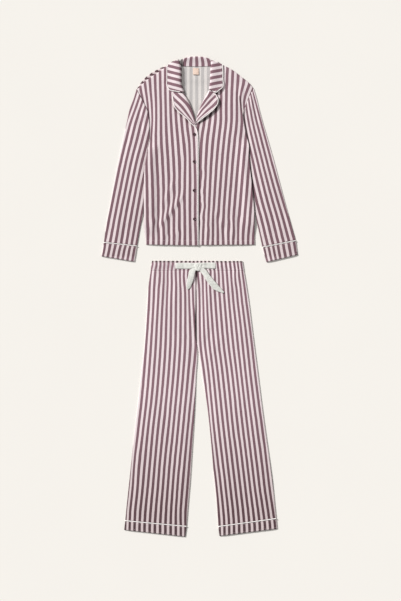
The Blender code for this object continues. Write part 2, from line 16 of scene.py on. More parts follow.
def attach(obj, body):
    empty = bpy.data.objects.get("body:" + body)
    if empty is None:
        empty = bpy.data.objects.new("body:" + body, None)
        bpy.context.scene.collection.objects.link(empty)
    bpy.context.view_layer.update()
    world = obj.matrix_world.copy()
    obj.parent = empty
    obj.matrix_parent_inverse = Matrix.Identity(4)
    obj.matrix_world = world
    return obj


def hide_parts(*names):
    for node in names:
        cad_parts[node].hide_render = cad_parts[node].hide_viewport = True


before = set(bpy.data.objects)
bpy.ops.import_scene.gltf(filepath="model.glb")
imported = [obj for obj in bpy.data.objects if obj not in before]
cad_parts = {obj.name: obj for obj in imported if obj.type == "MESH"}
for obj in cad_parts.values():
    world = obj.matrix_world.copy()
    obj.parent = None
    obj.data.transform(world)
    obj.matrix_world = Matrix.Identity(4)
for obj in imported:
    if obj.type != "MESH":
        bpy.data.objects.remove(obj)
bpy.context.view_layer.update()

WALL, WALL_DOUBLE, GAP, SEAM = 1.2, 1.6, 0.3, 0.5
PIPE_R = 1.5
PUFF, BODY_LIFT, COLLAR_LIFT = 2.3, 5.0, 1.5
PITCH = 20.3            # spacing of the woven stripes
GATHER = 14.9           # mean spacing of the gathers in the waist

# ---------------------------------------------------------------- edges of the pieces
ARMHOLE_R = ((-235.5, 780), (-220.5, 751.5), (-206.5, 723.5), (-195, 699),
             (-189, 669.5), (-187, 630), (-186.5, 587))
SIDE_R = ((-193, 557), (-198, 531), (-205, 489.5), (-208, 437),
          (-208.5, 381), (-208, 324.5), (-207, 257), (-200.5, 195.5))
ARMHOLE_L = ((202.5, 781), (189, 756), (177.5, 728.5), (168.5, 703.5),
             (164.5, 675), (170, 636), (177, 602))
SIDE_L = ((186.5, 563.5), (185.5, 531), (189, 489.5), (195, 437),
          (200, 381), (205.5, 324.5), (206.5, 257), (207, 195.5))
INNER_R = ((-77.5, 881.5), (-75, 842), (-72, 801), (-60, 757.5), (-44, 722),
           (-30, 688.5), (-19.5, 658.5), (-10.5, 628.5), (-7.6, 583.5), (-7, 527),
           (-7, 463.5), (-7, 399.5), (-7, 336), (-7, 264.5), (-7, 192))
INNER_L = ((55.5, 877.5), (46, 838.5), (41.5, 801), (28.5, 757.5), (14, 722),
           (2, 692), (-8.5, 662), (-23.5, 628.5), (-33, 583.5), (-34, 527),
           (-34, 463.5), (-34, 399.5), (-34, 336), (-34, 264.5), (-34, 193.5))
SHOULDER_R = ((-233.5, 776.5), (-217.5, 795), (-198.5, 812), (-177, 827.5),
              (-154.5, 842), (-130, 859), (-104, 873), (-77.5, 881.5))
SHOULDER_L = ((55.5, 877.5), (80, 872), (104, 861.5), (128, 847.5),
              (150, 831), (170, 814), (189, 799), (202.5, 781))
BACK_TOP = ((-235.5, 780), (-213.5, 812), (-186.5, 836), (-157, 853.5), (-123, 868),
            (-82.5, 881.5), (-76, 872.5), (-66, 868.5), (-40, 867.5),
            (-13.5, 867), (14, 867.5), (38, 868.5), (48.5, 872.5), (55.5, 879.5),
            (94.5, 866), (128.5, 848.5), (158.5, 825), (184, 804.5), (202.5, 781))
SLEEVE_R = (  # x_out, y_out, x_in, y_in
    (-235.5, 780, -186.5, 587), (-247, 742.5, -192.5, 564.5), (-261, 706, -196.5, 542),
    (-272.5, 656.5, -199.5, 512), (-286.5, 591, -202, 471), (-302.5, 517.5, -204.5, 414.5),
    (-318, 441, -207.5, 358.5), (-333, 360, -211.5, 309.5), (-348.5, 279.5, -221.5, 264.5),
    (-358.5, 206, -234, 192.5))
SLEEVE_L = (  # x_in, y_in, x_out, y_out
    (177, 602, 202.5, 781), (184, 579.5, 213.5, 744.5), (187.5, 557, 223, 706),
    (185.5, 523.5, 236.5, 657), (186, 478.5, 255.5, 593), (191, 426, 277.5, 516.5),
    (197.5, 373.5, 298.5, 438), (207, 321, 319, 361), (221, 255, 340.5, 285),
    (235.5, 188, 361, 213))
CUFF_R = ((-359.2, 202, -235, 188), (-362.5, 184, -238, 168), (-368, 152.5, -244, 132))
CUFF_L = ((236, 183.5, 361.6, 208.5), (241, 165, 364, 190), (251.5, 130, 368, 157.5))
FALL_R = (  # x_out, y_out, x_roll, y_roll
    (-120, 870, -82, 888.5), (-122.5, 860, -76, 875.5), (-123, 842, -72.5, 861), (-123, 816, -71.5, 827),
    (-123, 789.5, -70, 793.5), (-113.5, 776, -60, 765.5))
FALL_L = (  # x_roll, y_roll, x_out, y_out
    (44.6, 886.5, 87, 871), (42.5, 861, 88.5, 846), (41, 832.5, 88.5, 816),
    (40, 804.5, 89, 787.5), (36, 777, 63, 765.5))
LAPEL_R = (  # x_out, y_out, x_roll, y_roll
    (-105, 768.5, -59.5, 762.5), (-101, 742.5, -46.5, 739), (-94.5, 712.5, -36, 716.5),
    (-76, 691.5, -27.5, 696), (-52.5, 671.5, -21, 672), (-27.5, 648.5, -13.5, 646.5))
LAPEL_L = (  # x_roll, y_roll, x_out, y_out
    (34.5, 774, 60, 761.5), (26.5, 756, 70, 743), (16.5, 738, 70.5, 727.5),
    (8, 720, 60, 708), (0, 701.5, 37.5, 687), (-7.5, 681, 12, 667.5),
    (-12.2, 659, -6.5, 652.5))
STAND_TOP = ((-70.5, 889), (-42, 897), (-12, 900), (18, 897.5), (42.6, 889.5))
STAND_FOOT = ((-68.5, 864.5), (-42, 864), (-12, 863.5), (18, 864), (41.3, 864.5))
BACK_FALL_TOP = ((-115, 868), (-97, 881), (-72, 887.5), (-42, 895), (-12, 898),
                 (18, 895.5), (43, 888), (64, 879), (82, 869))
BACK_FALL_FOOT = ((-115, 846), (-97, 845), (-72, 844), (-42, 843), (-12, 843),
                  (18, 843), (43, 844), (64, 845), (82, 846))
LEG_R = (  # x_side, y_side, x_in, y_in
    (-183, 97, -10, 97), (-190, 51, -12, 51), (-195.5, -13, -14.5, -13),
    (-201.5, -106.5, -14.5, -106.5), (-205, -166.5, -11.5, -166.5),
    (-208.5, -200.5, -8, -200.5), (-219, -290.5, -12.5, -290.5), (-231, -399, -17, -399),
    (-239.5, -471, -21, -470.5), (-251, -575.5, -27.5, -575.5), (-263, -688, -34.5, -688),
    (-273, -781.5, -42.5, -781.5), (-278.5, -838, -48.5, -859.5))
LEG_L = (  # x_in, y_in, x_side, y_side
    (-9, 97, 167, 97), (-11, 51, 175, 51), (-13.5, -13, 185, -13),
    (-13.5, -106.5, 196.5, -106.5), (-10.5, -166.5, 204, -166.5),
    (-4, -200.5, 208.5, -200.5), (9, -290.5, 220, -290.5), (27.5, -399, 233.5, -399),
    (36, -470.5, 243, -470.5), (46, -575.5, 258, -575.5), (55.5, -688, 273.5, -688),
    (65, -781.5, 283, -781.5), (70, -860, 288, -830))
HEM_R = ((-278.6, -842, -48.6, -863.4), (-280.6, -858, -51, -881), (-282.5, -874.5, -53.5, -900))
HEM_L = ((70.4, -863.8, 288.2, -833.9), (72.6, -880, 290, -852), (75, -897.5, 292, -870))
WAISTBAND = ((-178, 135, 161, 134), (-181, 116.5, 164, 116), (-183, 98.8, 166.5, 98.8))
BUTTONS = ((-19.5, 609), (-19.5, 507), (-19.5, 399), (-18.5, 291.5))
BUTTON_D = 12.0
LABEL_CENTRE, LABEL_SIZE = (-13.5, 845.5), (22.0, 25.0)
KNOT_CENTRE, KNOT_SIZE = (-5.0, 112.0), (24.0, 31.5)
RIBBON_R = ((-90, 127, -90, 105.5), (-55, 127.5, -55, 105), (-21, 127.5, -21, 104.5))
RIBBON_L = ((15, 128, 15, 105), (38, 128.5, 38, 105.8), (60.5, 128, 60, 105.6))

# ---------------------------------------------------------------- where the stripes run
# Each table gives the numbers of a few guide stripes, and then, at a height y, the x that
# each of them passes through. The stripes between are spaced evenly.
STRIPES_FRONT_R = ((-3, -2, -1, 0, 3, 5, 7), (  # y, then x of each guide stripe
    (895, -235, -214, -193, -171, -108, -68, -29),
    (831, -229, -208, -188, -167, -109, -70, -32),
    (775, -220, -201, -184, -165, -110, -71, -32),
    (718, -209, -194, -179, -163, -109, -72, -32),
    (662, -205, -191, -177, -163, -107, -68, -28),
    (587, -213, -196, -182, -164, -102, -60, -21),
    (512, -219, -199, -180, -160, -97, -55, -18),
    (437, -217, -197, -177, -156, -94, -55, -16),
    (362, -216, -196, -175, -154, -94, -56, -16),
    (287, -215, -195, -174, -154, -96, -55, -16),
    (212, -214, -194, -173, -153, -96, -55, -13),
    (190, -214, -194, -173, -153, -96, -55, -13),))
STRIPES_FRONT_L = ((0, 3, 6, 7, 8, 9, 11), (  # y, then x of each guide stripe
    (880, 40, 86, 148, 169, 191, 213, 256),
    (831, 37, 83, 145, 169, 193, 215, 258),
    (797, 34, 82, 143, 164, 187, 208, 250),
    (775, 33, 81, 142, 158, 179, 199, 239),
    (748, 30, 81, 141, 153, 170, 190, 232),
    (718, 27, 80, 141, 155, 166, 184, 224),
    (662, 19, 80, 140, 159, 178, 197, 237),
    (587, 8, 72, 132, 153, 173, 193, 235),
    (512, 4, 65, 125, 146, 166, 187, 228),
    (437, 2, 60, 119, 139, 160, 181, 222),
    (362, 1, 55, 113, 133, 154, 175, 214),
    (287, -1, 51, 109, 127, 148, 169, 208),
    (212, -5, 49, 109, 126, 144, 164, 201),
    (190, -5, 49, 109, 126, 144, 164, 201),))
STRIPES_SLEEVE_R = ((-1, 0, 3, 5, 6), (  # y, then x of each guide stripe
    (782, -233, -215, -162, -127, -110),
    (718, -253, -236, -184, -148, -130),
    (662, -273, -256, -197, -158, -138),
    (587, -295, -276, -215, -175, -155),
    (512, -313, -294, -235, -194, -174),
    (437, -329, -310, -251, -212, -193),
    (362, -344, -325, -266, -226, -206),
    (287, -359, -340, -280, -239, -221),
    (212, -375, -355, -292, -252, -234),
    (186, -381, -361, -296, -256, -239),))
STRIPES_SLEEVE_L = ((-1, 0, 3, 6, 7), (  # y, then x of each guide stripe
    (782, 125, 140, 170, 197, 205),
    (718, 122, 136, 175, 214, 226),
    (662, 125, 139, 183, 229, 243),
    (587, 131, 148, 199, 249, 265),
    (512, 148, 165, 217, 269, 286),
    (437, 157, 177, 235, 290, 308),
    (362, 173, 193, 254, 312, 331),
    (287, 192, 213, 275, 335, 354),
    (212, 211, 231, 293, 356, 376),
    (186, 216, 237, 300, 363, 383),))
STRIPES_CUFF_R = ((0, 3, 6), (  # y, then x of each guide stripe
    (208, -354, -291, -236),
    (175, -358, -300, -245),
    (152, -363, -305, -249),
    (130, -368, -309, -253),))
STRIPES_CUFF_L = ((0, 3, 6), (  # y, then x of each guide stripe
    (220, 231, 289, 353),
    (175, 244, 297, 360),
    (148, 250, 302, 365),
    (126, 256, 307, 368),))
STRIPES_LEG_R = ((-1, 0, 3, 5, 8, 10, 11), (  # y, then x of each guide stripe
    (141, -187, -172, -131, -99, -57, -29, -14),
    (100, -195, -181, -133, -104, -58, -28, -12),
    (43, -204, -187, -135, -104, -55, -26, -11),
    (-13, -206, -189, -138, -106, -53, -24, -10),
    (-88, -211, -193, -142, -107, -53, -19, -2),
    (-182, -218, -200, -146, -109, -54, -14, 5),
    (-275, -226, -207, -152, -115, -60, -22, -3),
    (-388, -236, -217, -162, -125, -70, -33, -16),
    (-500, -249, -230, -175, -137, -81, -44, -28),
    (-613, -257, -243, -185, -148, -92, -55, -37),
    (-725, -267, -252, -195, -157, -101, -64, -46),
    (-819, -277, -261, -204, -165, -107, -71, -53),
    (-853, -278, -262, -206, -167, -108, -70, -53),
    (-905, -280, -263, -206, -168, -108, -70, -53),))
STRIPES_LEG_L = ((0, 1, 3, 6, 9, 11, 12), (  # y, then x of each guide stripe
    (141, -9, 9, 39, 84, 130, 155, 168),
    (100, -8, 10, 42, 86, 134, 160, 173),
    (43, -2, 13, 39, 90, 138, 168, 183),
    (-13, 0, 14, 42, 94, 143, 175, 192),
    (-88, 1, 16, 47, 100, 152, 185, 202),
    (-182, 4, 21, 55, 109, 162, 197, 214),
    (-275, 16, 33, 67, 121, 172, 207, 224),
    (-388, 29, 44, 79, 134, 185, 221, 239),
    (-500, 40, 55, 91, 146, 199, 236, 255),
    (-613, 52, 68, 104, 160, 213, 250, 268),
    (-725, 65, 80, 117, 173, 227, 264, 282),
    (-819, 73, 91, 127, 184, 241, 278, 297),
    (-853, 75, 93, 129, 187, 245, 283, 302),
    (-905, 77, 94, 130, 188, 247, 285, 304),))
STRIPES_WAIST = ((0, 3, 5, 8, 11, 15, 17, 20, 22), (  # y, then x of each guide stripe
    (141, -178, -133, -100, -50, -7, 50, 81, 128, 155),
    (126, -176, -132, -100, -52, -8, 52, 83, 130, 156),
    (100, -181, -133, -104, -58, -8, 56, 86, 134, 160),))
STRIPES_STAND = ((0, 2, 4), (  # y, then x of each guide stripe
    (898, -50, -11, 29),
    (880, -55, -10, 35),
    (861, -57, -10, 37),))
STRIPES_LAPEL_R = ((-1, 0, 1, 2), (  # y, then x of each guide stripe
    (775, -166, -134, -100, -66),
    (758, -144, -113, -84, -53),
    (739, -125, -94, -63, -33),
    (722, -103, -75, -47, -19),
    (698, -77, -55, -32, -9),
    (675, -53, -38, -23, -8),
    (652, -26, -21, -17, -12),))
STRIPES_LAPEL_L = ((-1, 0, 1, 2, 3), (  # y, then x of each guide stripe
    (775, 18, 48, 80, 112, 142),
    (752, 12, 35, 60, 86, 112),
    (735, 2, 22, 41, 70, 99),
    (718, -5, 11, 25, 54, 82),
    (701, -14, -2, 9, 34, 59),
    (683, -21, -12, -3, 14, 31),
    (668, -26, -19, -13, -2, 8),
    (655, -25, -20, -16, -12, -8),))

# stripes that run across: a slope and a spacing instead of guides
#                 x0,   y0, fall per mm of x, pitch
STRIPES_FALL_R = (-102, 861.6, 0.28, 21.6)
STRIPES_FALL_L = (63, 868, -0.21, 22.6)

# ---------------------------------------------------------------- folds
# soft troughs (negative) and ridges from one point to another
FOLDS_FRONT_R = (  # x0, y0, x1, y1, half width, height
    (-60, 384, -160, 250, 10, 2.2), (-96, 440, -142, 330, 9, 1.4), (-160, 310, -192, 222, 9, 1.5),
    (-168, 700, -174, 560, 10, 1.3),
    (-150, 350, -158, 196, 9, -1.7), (-131, 320, -138, 196, 8, 1.5),
    (-104, 300, -116, 196, 9, -1.6), (-84, 262, -92, 196, 8, 1.2),
    (-64, 300, -70, 205, 8, -1.0), (-40, 500, -44, 300, 12, 0.7),
    (-120, 640, -98, 470, 16, -0.6), (-180, 480, -168, 300, 11, 0.8),
    (-196, 420, -196, 210, 7, -0.8), (-62, 610, -58, 520, 12, 0.8))
FOLDS_FRONT_L = (
    (144, 770, 150, 712, 5, -2.4), (150, 712, 166, 640, 5, -2.0),
    (158, 790, 163, 716, 7, 1.4), (166, 640, 176, 560, 6, -1.2),
    (172, 540, 168, 330, 12, 0.9), (196, 420, 201, 215, 8, -0.9),
    (148, 330, 138, 196, 9, -1.7), (126, 300, 120, 196, 8, 1.3),
    (96, 270, 88, 196, 9, -1.5), (66, 310, 56, 196, 9, -1.4),
    (42, 300, 36, 200, 8, 1.0), (16, 280, 18, 196, 7, -0.8),
    (60, 560, 34, 420, 16, -0.7), (110, 640, 96, 500, 15, 0.7))
FOLDS_BACK = (
    (-60, 820, -52, 640, 14, 0.5), (14, 830, 6, 660, 12, -0.4), (-140, 600, -110, 300, 20, 0.5),
    (90, 560, 110, 260, 20, -0.5))
FOLDS_SLEEVE_R = (
    (-232, 740, -214, 610, 8, -1.5), (-216, 700, -202, 575, 7, 1.0),
    (-262, 640, -288, 500, 9, -1.0), (-226, 560, -262, 400, 10, 0.9),
    (-300, 470, -330, 320, 8, 0.9), (-250, 420, -280, 290, 9, -1.0),
    (-330, 300, -345, 214, 8, -1.2), (-300, 280, -312, 206, 7, 1.1),
    (-272, 270, -284, 202, 8, -1.3), (-244, 262, -252, 198, 6, 0.8))
FOLDS_SLEEVE_L = (
    (199, 752, 188, 662, 6, 1.5), (208, 742, 216, 640, 7, -1.6), (196, 640, 212, 520, 9, 0.9),
    (232, 640, 262, 500, 8, -1.2), (204, 520, 236, 380, 9, -1.0), (270, 500, 300, 370, 8, 0.9),
    (236, 400, 262, 290, 9, 1.0), (310, 350, 328, 222, 8, -1.1), (276, 300, 290, 206, 8, -1.2),
    (250, 270, 262, 198, 7, 1.0), (336, 290, 348, 214, 7, 0.9))
FOLDS_LEG_R = (
    (-121, 97, -126, -50, 7, -1.8), (-28, 60, -12, -150, 6, 1.7), (-46, 80, -38, -60, 8, -1.1),
    (-88, 60, -92, -30, 8, 1.1), (-156, 60, -172, -60, 9, -1.0), (-70, -110, -24, -178, 9, -1.1),
    (-96, -140, -34, -230, 11, 0.8), (-180, -330, -168, -520, 14, 0.7),
    (-110, -470, -96, -640, 16, -0.7), (-60, -560, -66, -720, 12, 0.6),
    (-200, -690, -196, -840, 10, -0.9), (-150, -740, -156, -850, 9, 0.8),
    (-96, -720, -104, -852, 9, -0.8), (-236, -540, -246, -700, 9, 0.7))
FOLDS_LEG_L = (
    (12, 60, 2, -150, 6, -1.5), (36, 70, 30, -50, 8, 1.1), (66, 76, 72, -20, 8, -1.2),
    (104, 70, 112, -40, 8, 1.0), (140, 66, 154, -60, 9, -1.1), (54, -110, 14, -186, 9, -1.0),
    (84, -150, 26, -244, 11, 0.8), (186, -330, 180, -520, 14, -0.7),
    (120, -460, 112, -640, 16, 0.8), (70, -560, 82, -720, 12, -0.7),
    (216, -690, 222, -832, 10, 0.9), (168, -740, 170, -842, 9, -0.8),
    (112, -730, 120, -850, 9, 0.8), (252, -540, 258, -700, 9, -0.7))


# how far a fold pulls the stripes sideways, in the same form
SWAY_FRONT_R = (
    (-62, 382, -160, 252, 13, -6.0), (-96, 440, -142, 330, 13, -3.0), (-160, 300, -190, 226, 12, 3.0),
    (-74, 250, -86, 204, 12, 3.0), (-112, 232, -126, 196, 11, 2.6), (-40, 600, -70, 470, 14, 2.0))
SWAY_FRONT_L = (
    (2, 476, 20, 436, 15, 2.6), (-2, 400, 16, 384, 15, -2.4), (4, 352, 26, 332, 15, 3.0),
    (-4, 306, 14, 288, 15, -2.2), (60, 320, 96, 226, 12, -2.8), (110, 290, 136, 206, 12, 3.0),
    (150, 300, 166, 210, 13, -2.0), (30, 262, 44, 204, 11, 2.4))
SWAY_LEG_R = (
    (-150, 92, -146, 40, 12, 2.2), (-60, 88, -66, 30, 12, -2.0), (-228, -560, -234, -700, 16, -1.4),
    (-120, -420, -116, -560, 18, 1.4), (-70, -640, -76, -780, 16, -1.2))
SWAY_LEG_L = (
    (136, 92, 140, 36, 12, -2.2), (54, 88, 60, 26, 12, 2.0), (236, -540, 244, -700, 16, 1.4),
    (130, -400, 128, -560, 18, -1.4), (84, -640, 92, -780, 16, 1.2))


# ---------------------------------------------------------------- numbers
def ease(t):
    t = np.clip(t, 0.0, 1.0)
    return t * t * (3 - 2 * t)


def smooth(t, knots, values):
    """Values at t on a soft curve through the knots, carried straight on past its ends."""
    t, k, v = np.asarray(t, float), np.asarray(knots, float), np.asarray(values, float)
    if v.ndim == 1:
        return smooth(t, k, v[:, None])[..., 0]
    h = np.diff(k)
    d = np.diff(v, axis=0) / h[:, None]
    m = np.empty_like(v)
    m[0], m[-1] = d[0], d[-1]
    if len(k) > 2:
        a, b = h[:-1, None], h[1:, None]
        m[1:-1] = (d[:-1] * b + d[1:] * a) / (a + b)
    i = np.clip(np.searchsorted(k, t, side="right") - 1, 0, len(k) - 2)
    s = (t - k[i]) / h[i]
    c = np.clip(s, 0, 1)[..., None]
    hh = h[i][..., None]
    out = ((2 * c**3 - 3 * c**2 + 1) * v[i] + (c**3 - 2 * c**2 + c) * hh * m[i]
           + (-2 * c**3 + 3 * c**2) * v[i + 1] + (c**3 - c**2) * hh * m[i + 1])
    out += np.where(s < 0, s, 0)[..., None] * hh * m[i] + np.where(s > 1, s - 1, 0)[..., None] * hh * m[i + 1]
    return out


def folds(table, x, y):
    """Sum of the folds at each point. A fold fades in and out along its length, is a little
    deeper near its first end, and is steeper on one side than on the other."""
    total = np.zeros_like(x)
    for n, (x0, y0, x1, y1, width, height) in enumerate(table):
        dx, dy = x1 - x0, y1 - y0
        long = math.hypot(dx, dy)
        s = ((x - x0) * dx + (y - y0) * dy) / long
        away = ((x - x0) * dy - (y - y0) * dx) / long
        away = away + 0.12 * width * np.sin(s / long * 5 + n)
        side = np.where(away > 0, 1.25, 0.8) if n % 2 else np.where(away > 0, 0.8, 1.25)
        end = ease((s + 0.15 * long) / (0.4 * long)) * ease((1.2 * long - s) / (0.55 * long))
        total += height * end * (1 - 0.25 * s / long) * np.exp(-((away / width * side) ** 2))
    return total


def drift(x, y, seed, size=70.0):
    """A slow, uneven rise and fall of about one unit, the same every time."""
    a = 0.61 * seed
    return (np.sin(x / size * 1.3 + 1.7 * a) * np.sin(y / size * 0.8 + 2.3 * a)
            + 0.6 * np.sin((x * 0.8 + y * 0.6) / size * 1.9 + a)
            + 0.4 * np.sin((x * 0.5 - y * 0.9) / size * 2.9 + 3.1 * a)) / 2.0


def guided(table, x, y):
    """The number of the stripe at each point."""
    index, rows = table
    rows = np.array(rows, float)[::-1]
    index = np.array(index, float)
    xs = smooth(y.ravel(), rows[:, 0], rows[:, 1:])
    flat = x.ravel()
    k = np.clip((flat[:, None] > xs).sum(1) - 1, 0, len(index) - 2)
    here = np.arange(len(flat))
    a, b = xs[here, k], xs[here, k + 1]
    s = index[k] + (flat - a) / (b - a) * (index[k + 1] - index[k])
    return s.reshape(x.shape)


def sloped(rule, x, y):
    x0, y0, fall, pitch = rule
    return (y0 - y - fall * (x - x0)) / pitch


# ---------------------------------------------------------------- meshes
def patch(rows, step=4.0, across=None, top=None, fade=()):
    """A grid of (x, y) between the two edges that rows gives, and the distance along it.
    Where a top curve is given, the first section follows it and the next ones straighten."""
    rows = np.array(rows, float)
    ends = (np.hypot(*np.diff(rows[:, :2], axis=0).T) + np.hypot(*np.diff(rows[:, 2:], axis=0).T)) / 2
    k = np.concatenate([[0], np.cumsum(ends)])
    nv = max(2, math.ceil(k[-1] / step)) + 1
    t = np.linspace(0, k[-1], nv)
    e = smooth(t, k, rows)
    wide = np.hypot(e[:, 2] - e[:, 0], e[:, 3] - e[:, 1])
    nu = across or max(2, math.ceil(wide.max() / step)) + 1
    u = np.linspace(0, 1, nu)
    x = e[:, :1] + (e[:, 2:3] - e[:, :1]) * u
    y = e[:, 1:2] + (e[:, 3:] - e[:, 1:2]) * u
    if top is not None:
        top = np.array(top, float)
        x0, y0, x1, y1 = rows[0]
        long2 = (x1 - x0) ** 2 + (y1 - y0) ** 2
        share = ((top[:, 0] - x0) * (x1 - x0) + (top[:, 1] - y0) * (y1 - y0)) / long2
        bow = np.stack([top[:, 0] - x0 - share * (x1 - x0), top[:, 1] - y0 - share * (y1 - y0)], 1)
        bow = smooth(u, share, bow)
        levels = list(fade) + [0.0] if len(fade) else [1.0, 0.0]
        w = np.interp(t, k[:len(levels)], levels)[:, None]
        x, y = x + w * bow[:, 0], y + w * bow[:, 1]
    return x, y, np.broadcast_to(t[:, None], x.shape)


def spans(x, y):
    """Distance of each point of a grid from the first and from the last point of its row."""
    return (np.hypot(x - x[:, :1], y - y[:, :1]), np.hypot(x - x[:, -1:], y - y[:, -1:]))


def quads(nv, nu, start=0):
    j, i = np.meshgrid(np.arange(nv - 1), np.arange(nu - 1), indexing="ij")
    a = (j * nu + i).ravel() + start
    return np.stack([a, a + 1, a + nu + 1, a + nu], 1)


def make(name, points, faces, materials, which=None, cloth=None, tris=None, smooth_faces=True):
    """A closed mesh, in millimetres, turned to face outwards."""
    points = np.asarray(points, float) / 1000
    faces = np.asarray(faces, int).reshape(-1, 4)
    tris = np.zeros((0, 3), int) if tris is None else np.asarray(tris, int).reshape(-1, 3)
    p = points - points.mean(0)
    volume = 0.0
    for a, b, c in ((0, 1, 2), (0, 2, 3)):
        volume += np.einsum("ij,ij->i", p[faces[:, a]], np.cross(p[faces[:, b]], p[faces[:, c]])).sum()
    if len(tris):
        volume += np.einsum("ij,ij->i", p[tris[:, 0]], np.cross(p[tris[:, 1]], p[tris[:, 2]])).sum()
    if volume < 0:
        faces, tris = faces[:, ::-1], tris[:, ::-1]
    loops = np.concatenate([faces.ravel(), tris.ravel()])
    starts = np.concatenate([np.arange(len(faces)) * 4, len(faces) * 4 + np.arange(len(tris)) * 3])
    mesh = bpy.data.meshes.new(name)
    mesh.vertices.add(len(points))
    mesh.vertices.foreach_set("co", points.ravel())
    mesh.loops.add(len(loops))
    mesh.loops.foreach_set("vertex_index", loops.astype(np.int32))
    mesh.polygons.add(len(starts))
    mesh.polygons.foreach_set("loop_start", starts.astype(np.int32))
    mesh.update(calc_edges=True)
    if mesh.validate():
        print("mended the mesh of", name)
    for m in materials:
        mesh.materials.append(m)
    if which is not None:
        mesh.polygons.foreach_set("material_index", np.asarray(which, np.int32))
    if smooth_faces:
        mesh.shade_smooth()
    if cloth is not None:
        mesh.attributes.new("cloth", "FLOAT_VECTOR", "POINT").data.foreach_set(
            "vector", np.asarray(cloth, np.float32).ravel())
    ob = bpy.data.objects.new(name, mesh)
    bpy.context.scene.collection.objects.link(ob)
    return ob


def place(ob, slot, *nodes):
    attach(ob, "root")
    if nodes:
        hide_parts(*nodes)
    return ob


def painted_falloff(y):
    """How deep the colour is, as painted shade: it deepens down the shirt, and again towards the trouser hems, in
    place of light falling off towards the bottom.
    """
    return np.interp(y, (-900, -800, -580, -380, 145, 155, 200, 500, 860), (1.08, 1.0, 0.48, 0.02, 0.0, 0.5, 0.42, 0.18, 0.0))


def swayed(table, x, y):
    """Where to read the stripes: a fold pulls them sideways."""
    return x - folds(table, x, y)


def rim_of(nv, nu):
    return np.array(list(range(nu)) + [j * nu + nu - 1 for j in range(1, nv)]
                    + [(nv - 1) * nu + i for i in range(nu - 2, -1, -1)]
                    + [j * nu for j in range(nv - 2, 0, -1)])


def off_line(x, y, line):
    """Distance to a line drawn through points."""
    best = np.full(np.shape(x), 1e9)
    for (ax, ay), (bx, by) in zip(line, line[1:]):
        dx, dy = bx - ax, by - ay
        t = np.clip(((x - ax) * dx + (y - ay) * dy) / (dx * dx + dy * dy), 0, 1)
        best = np.minimum(best, np.hypot(x - ax - t * dx, y - ay - t * dy))
    return best


def skin(name, grid, wall, materials, stripe, along, reverse=False, painted_shade=0.0):
    """A shell of one wall about a grid of points (rows, columns, 3), with a rounded rim."""
    nv, nu, _ = grid.shape
    n = np.cross(np.gradient(grid, axis=1), np.gradient(grid, axis=0))
    n /= np.linalg.norm(n, axis=2, keepdims=True) + 1e-12
    if n[..., 2].mean() < 0:
        n = -n

    def drawn_in(g):
        g = g.copy()
        for a, b in ((0, 1), (-1, -2)):
            d = g[b] - g[a]
            g[a] += d * np.minimum(0.5, 0.4 * wall / (np.linalg.norm(d, axis=1, keepdims=True) + 1e-9))
        for a, b in ((0, 1), (-1, -2)):
            d = g[:, b] - g[:, a]
            g[:, a] += d * np.minimum(0.5, 0.4 * wall / (np.linalg.norm(d, axis=1, keepdims=True) + 1e-9))
        return g

    high, low = drawn_in(grid + n * wall / 2), drawn_in(grid - n * wall / 2)
    ring = rim_of(nv, nu)
    m = nv * nu
    rim = grid.reshape(-1, 3)[ring]
    points = np.concatenate([high.reshape(-1, 3), low.reshape(-1, 3), rim])
    r = np.arange(len(ring))
    r2 = np.roll(r, -1)
    a, b = ring, np.roll(ring, -1)
    up = quads(nv, nu)
    down = quads(nv, nu, m)[:, ::-1]
    side_up = np.stack([2 * m + r, 2 * m + r2, b, a], 1)
    side_low = np.stack([m + a, m + b, 2 * m + r2, 2 * m + r], 1)
    faces = np.concatenate([up, side_up, side_low, down])
    outer, inner_ = (1, 0) if reverse else (0, 1)
    which = np.concatenate([np.full(len(up) + len(side_up), outer), np.full(len(side_low) + len(down), inner_)])
    if len(materials) == 1:
        which = None
    # the third number is painted shade: the painted falloff down the garment plus the painted shade passed in
    c = np.stack([stripe, along / 1000, painted_falloff(grid[..., 1]) + painted_shade], 2).reshape(-1, 3)
    return make(name, points, faces, materials, which, np.concatenate([c, c, c[ring]]))


def raised(x, y, z):
    return np.stack([x, y, z], 2)


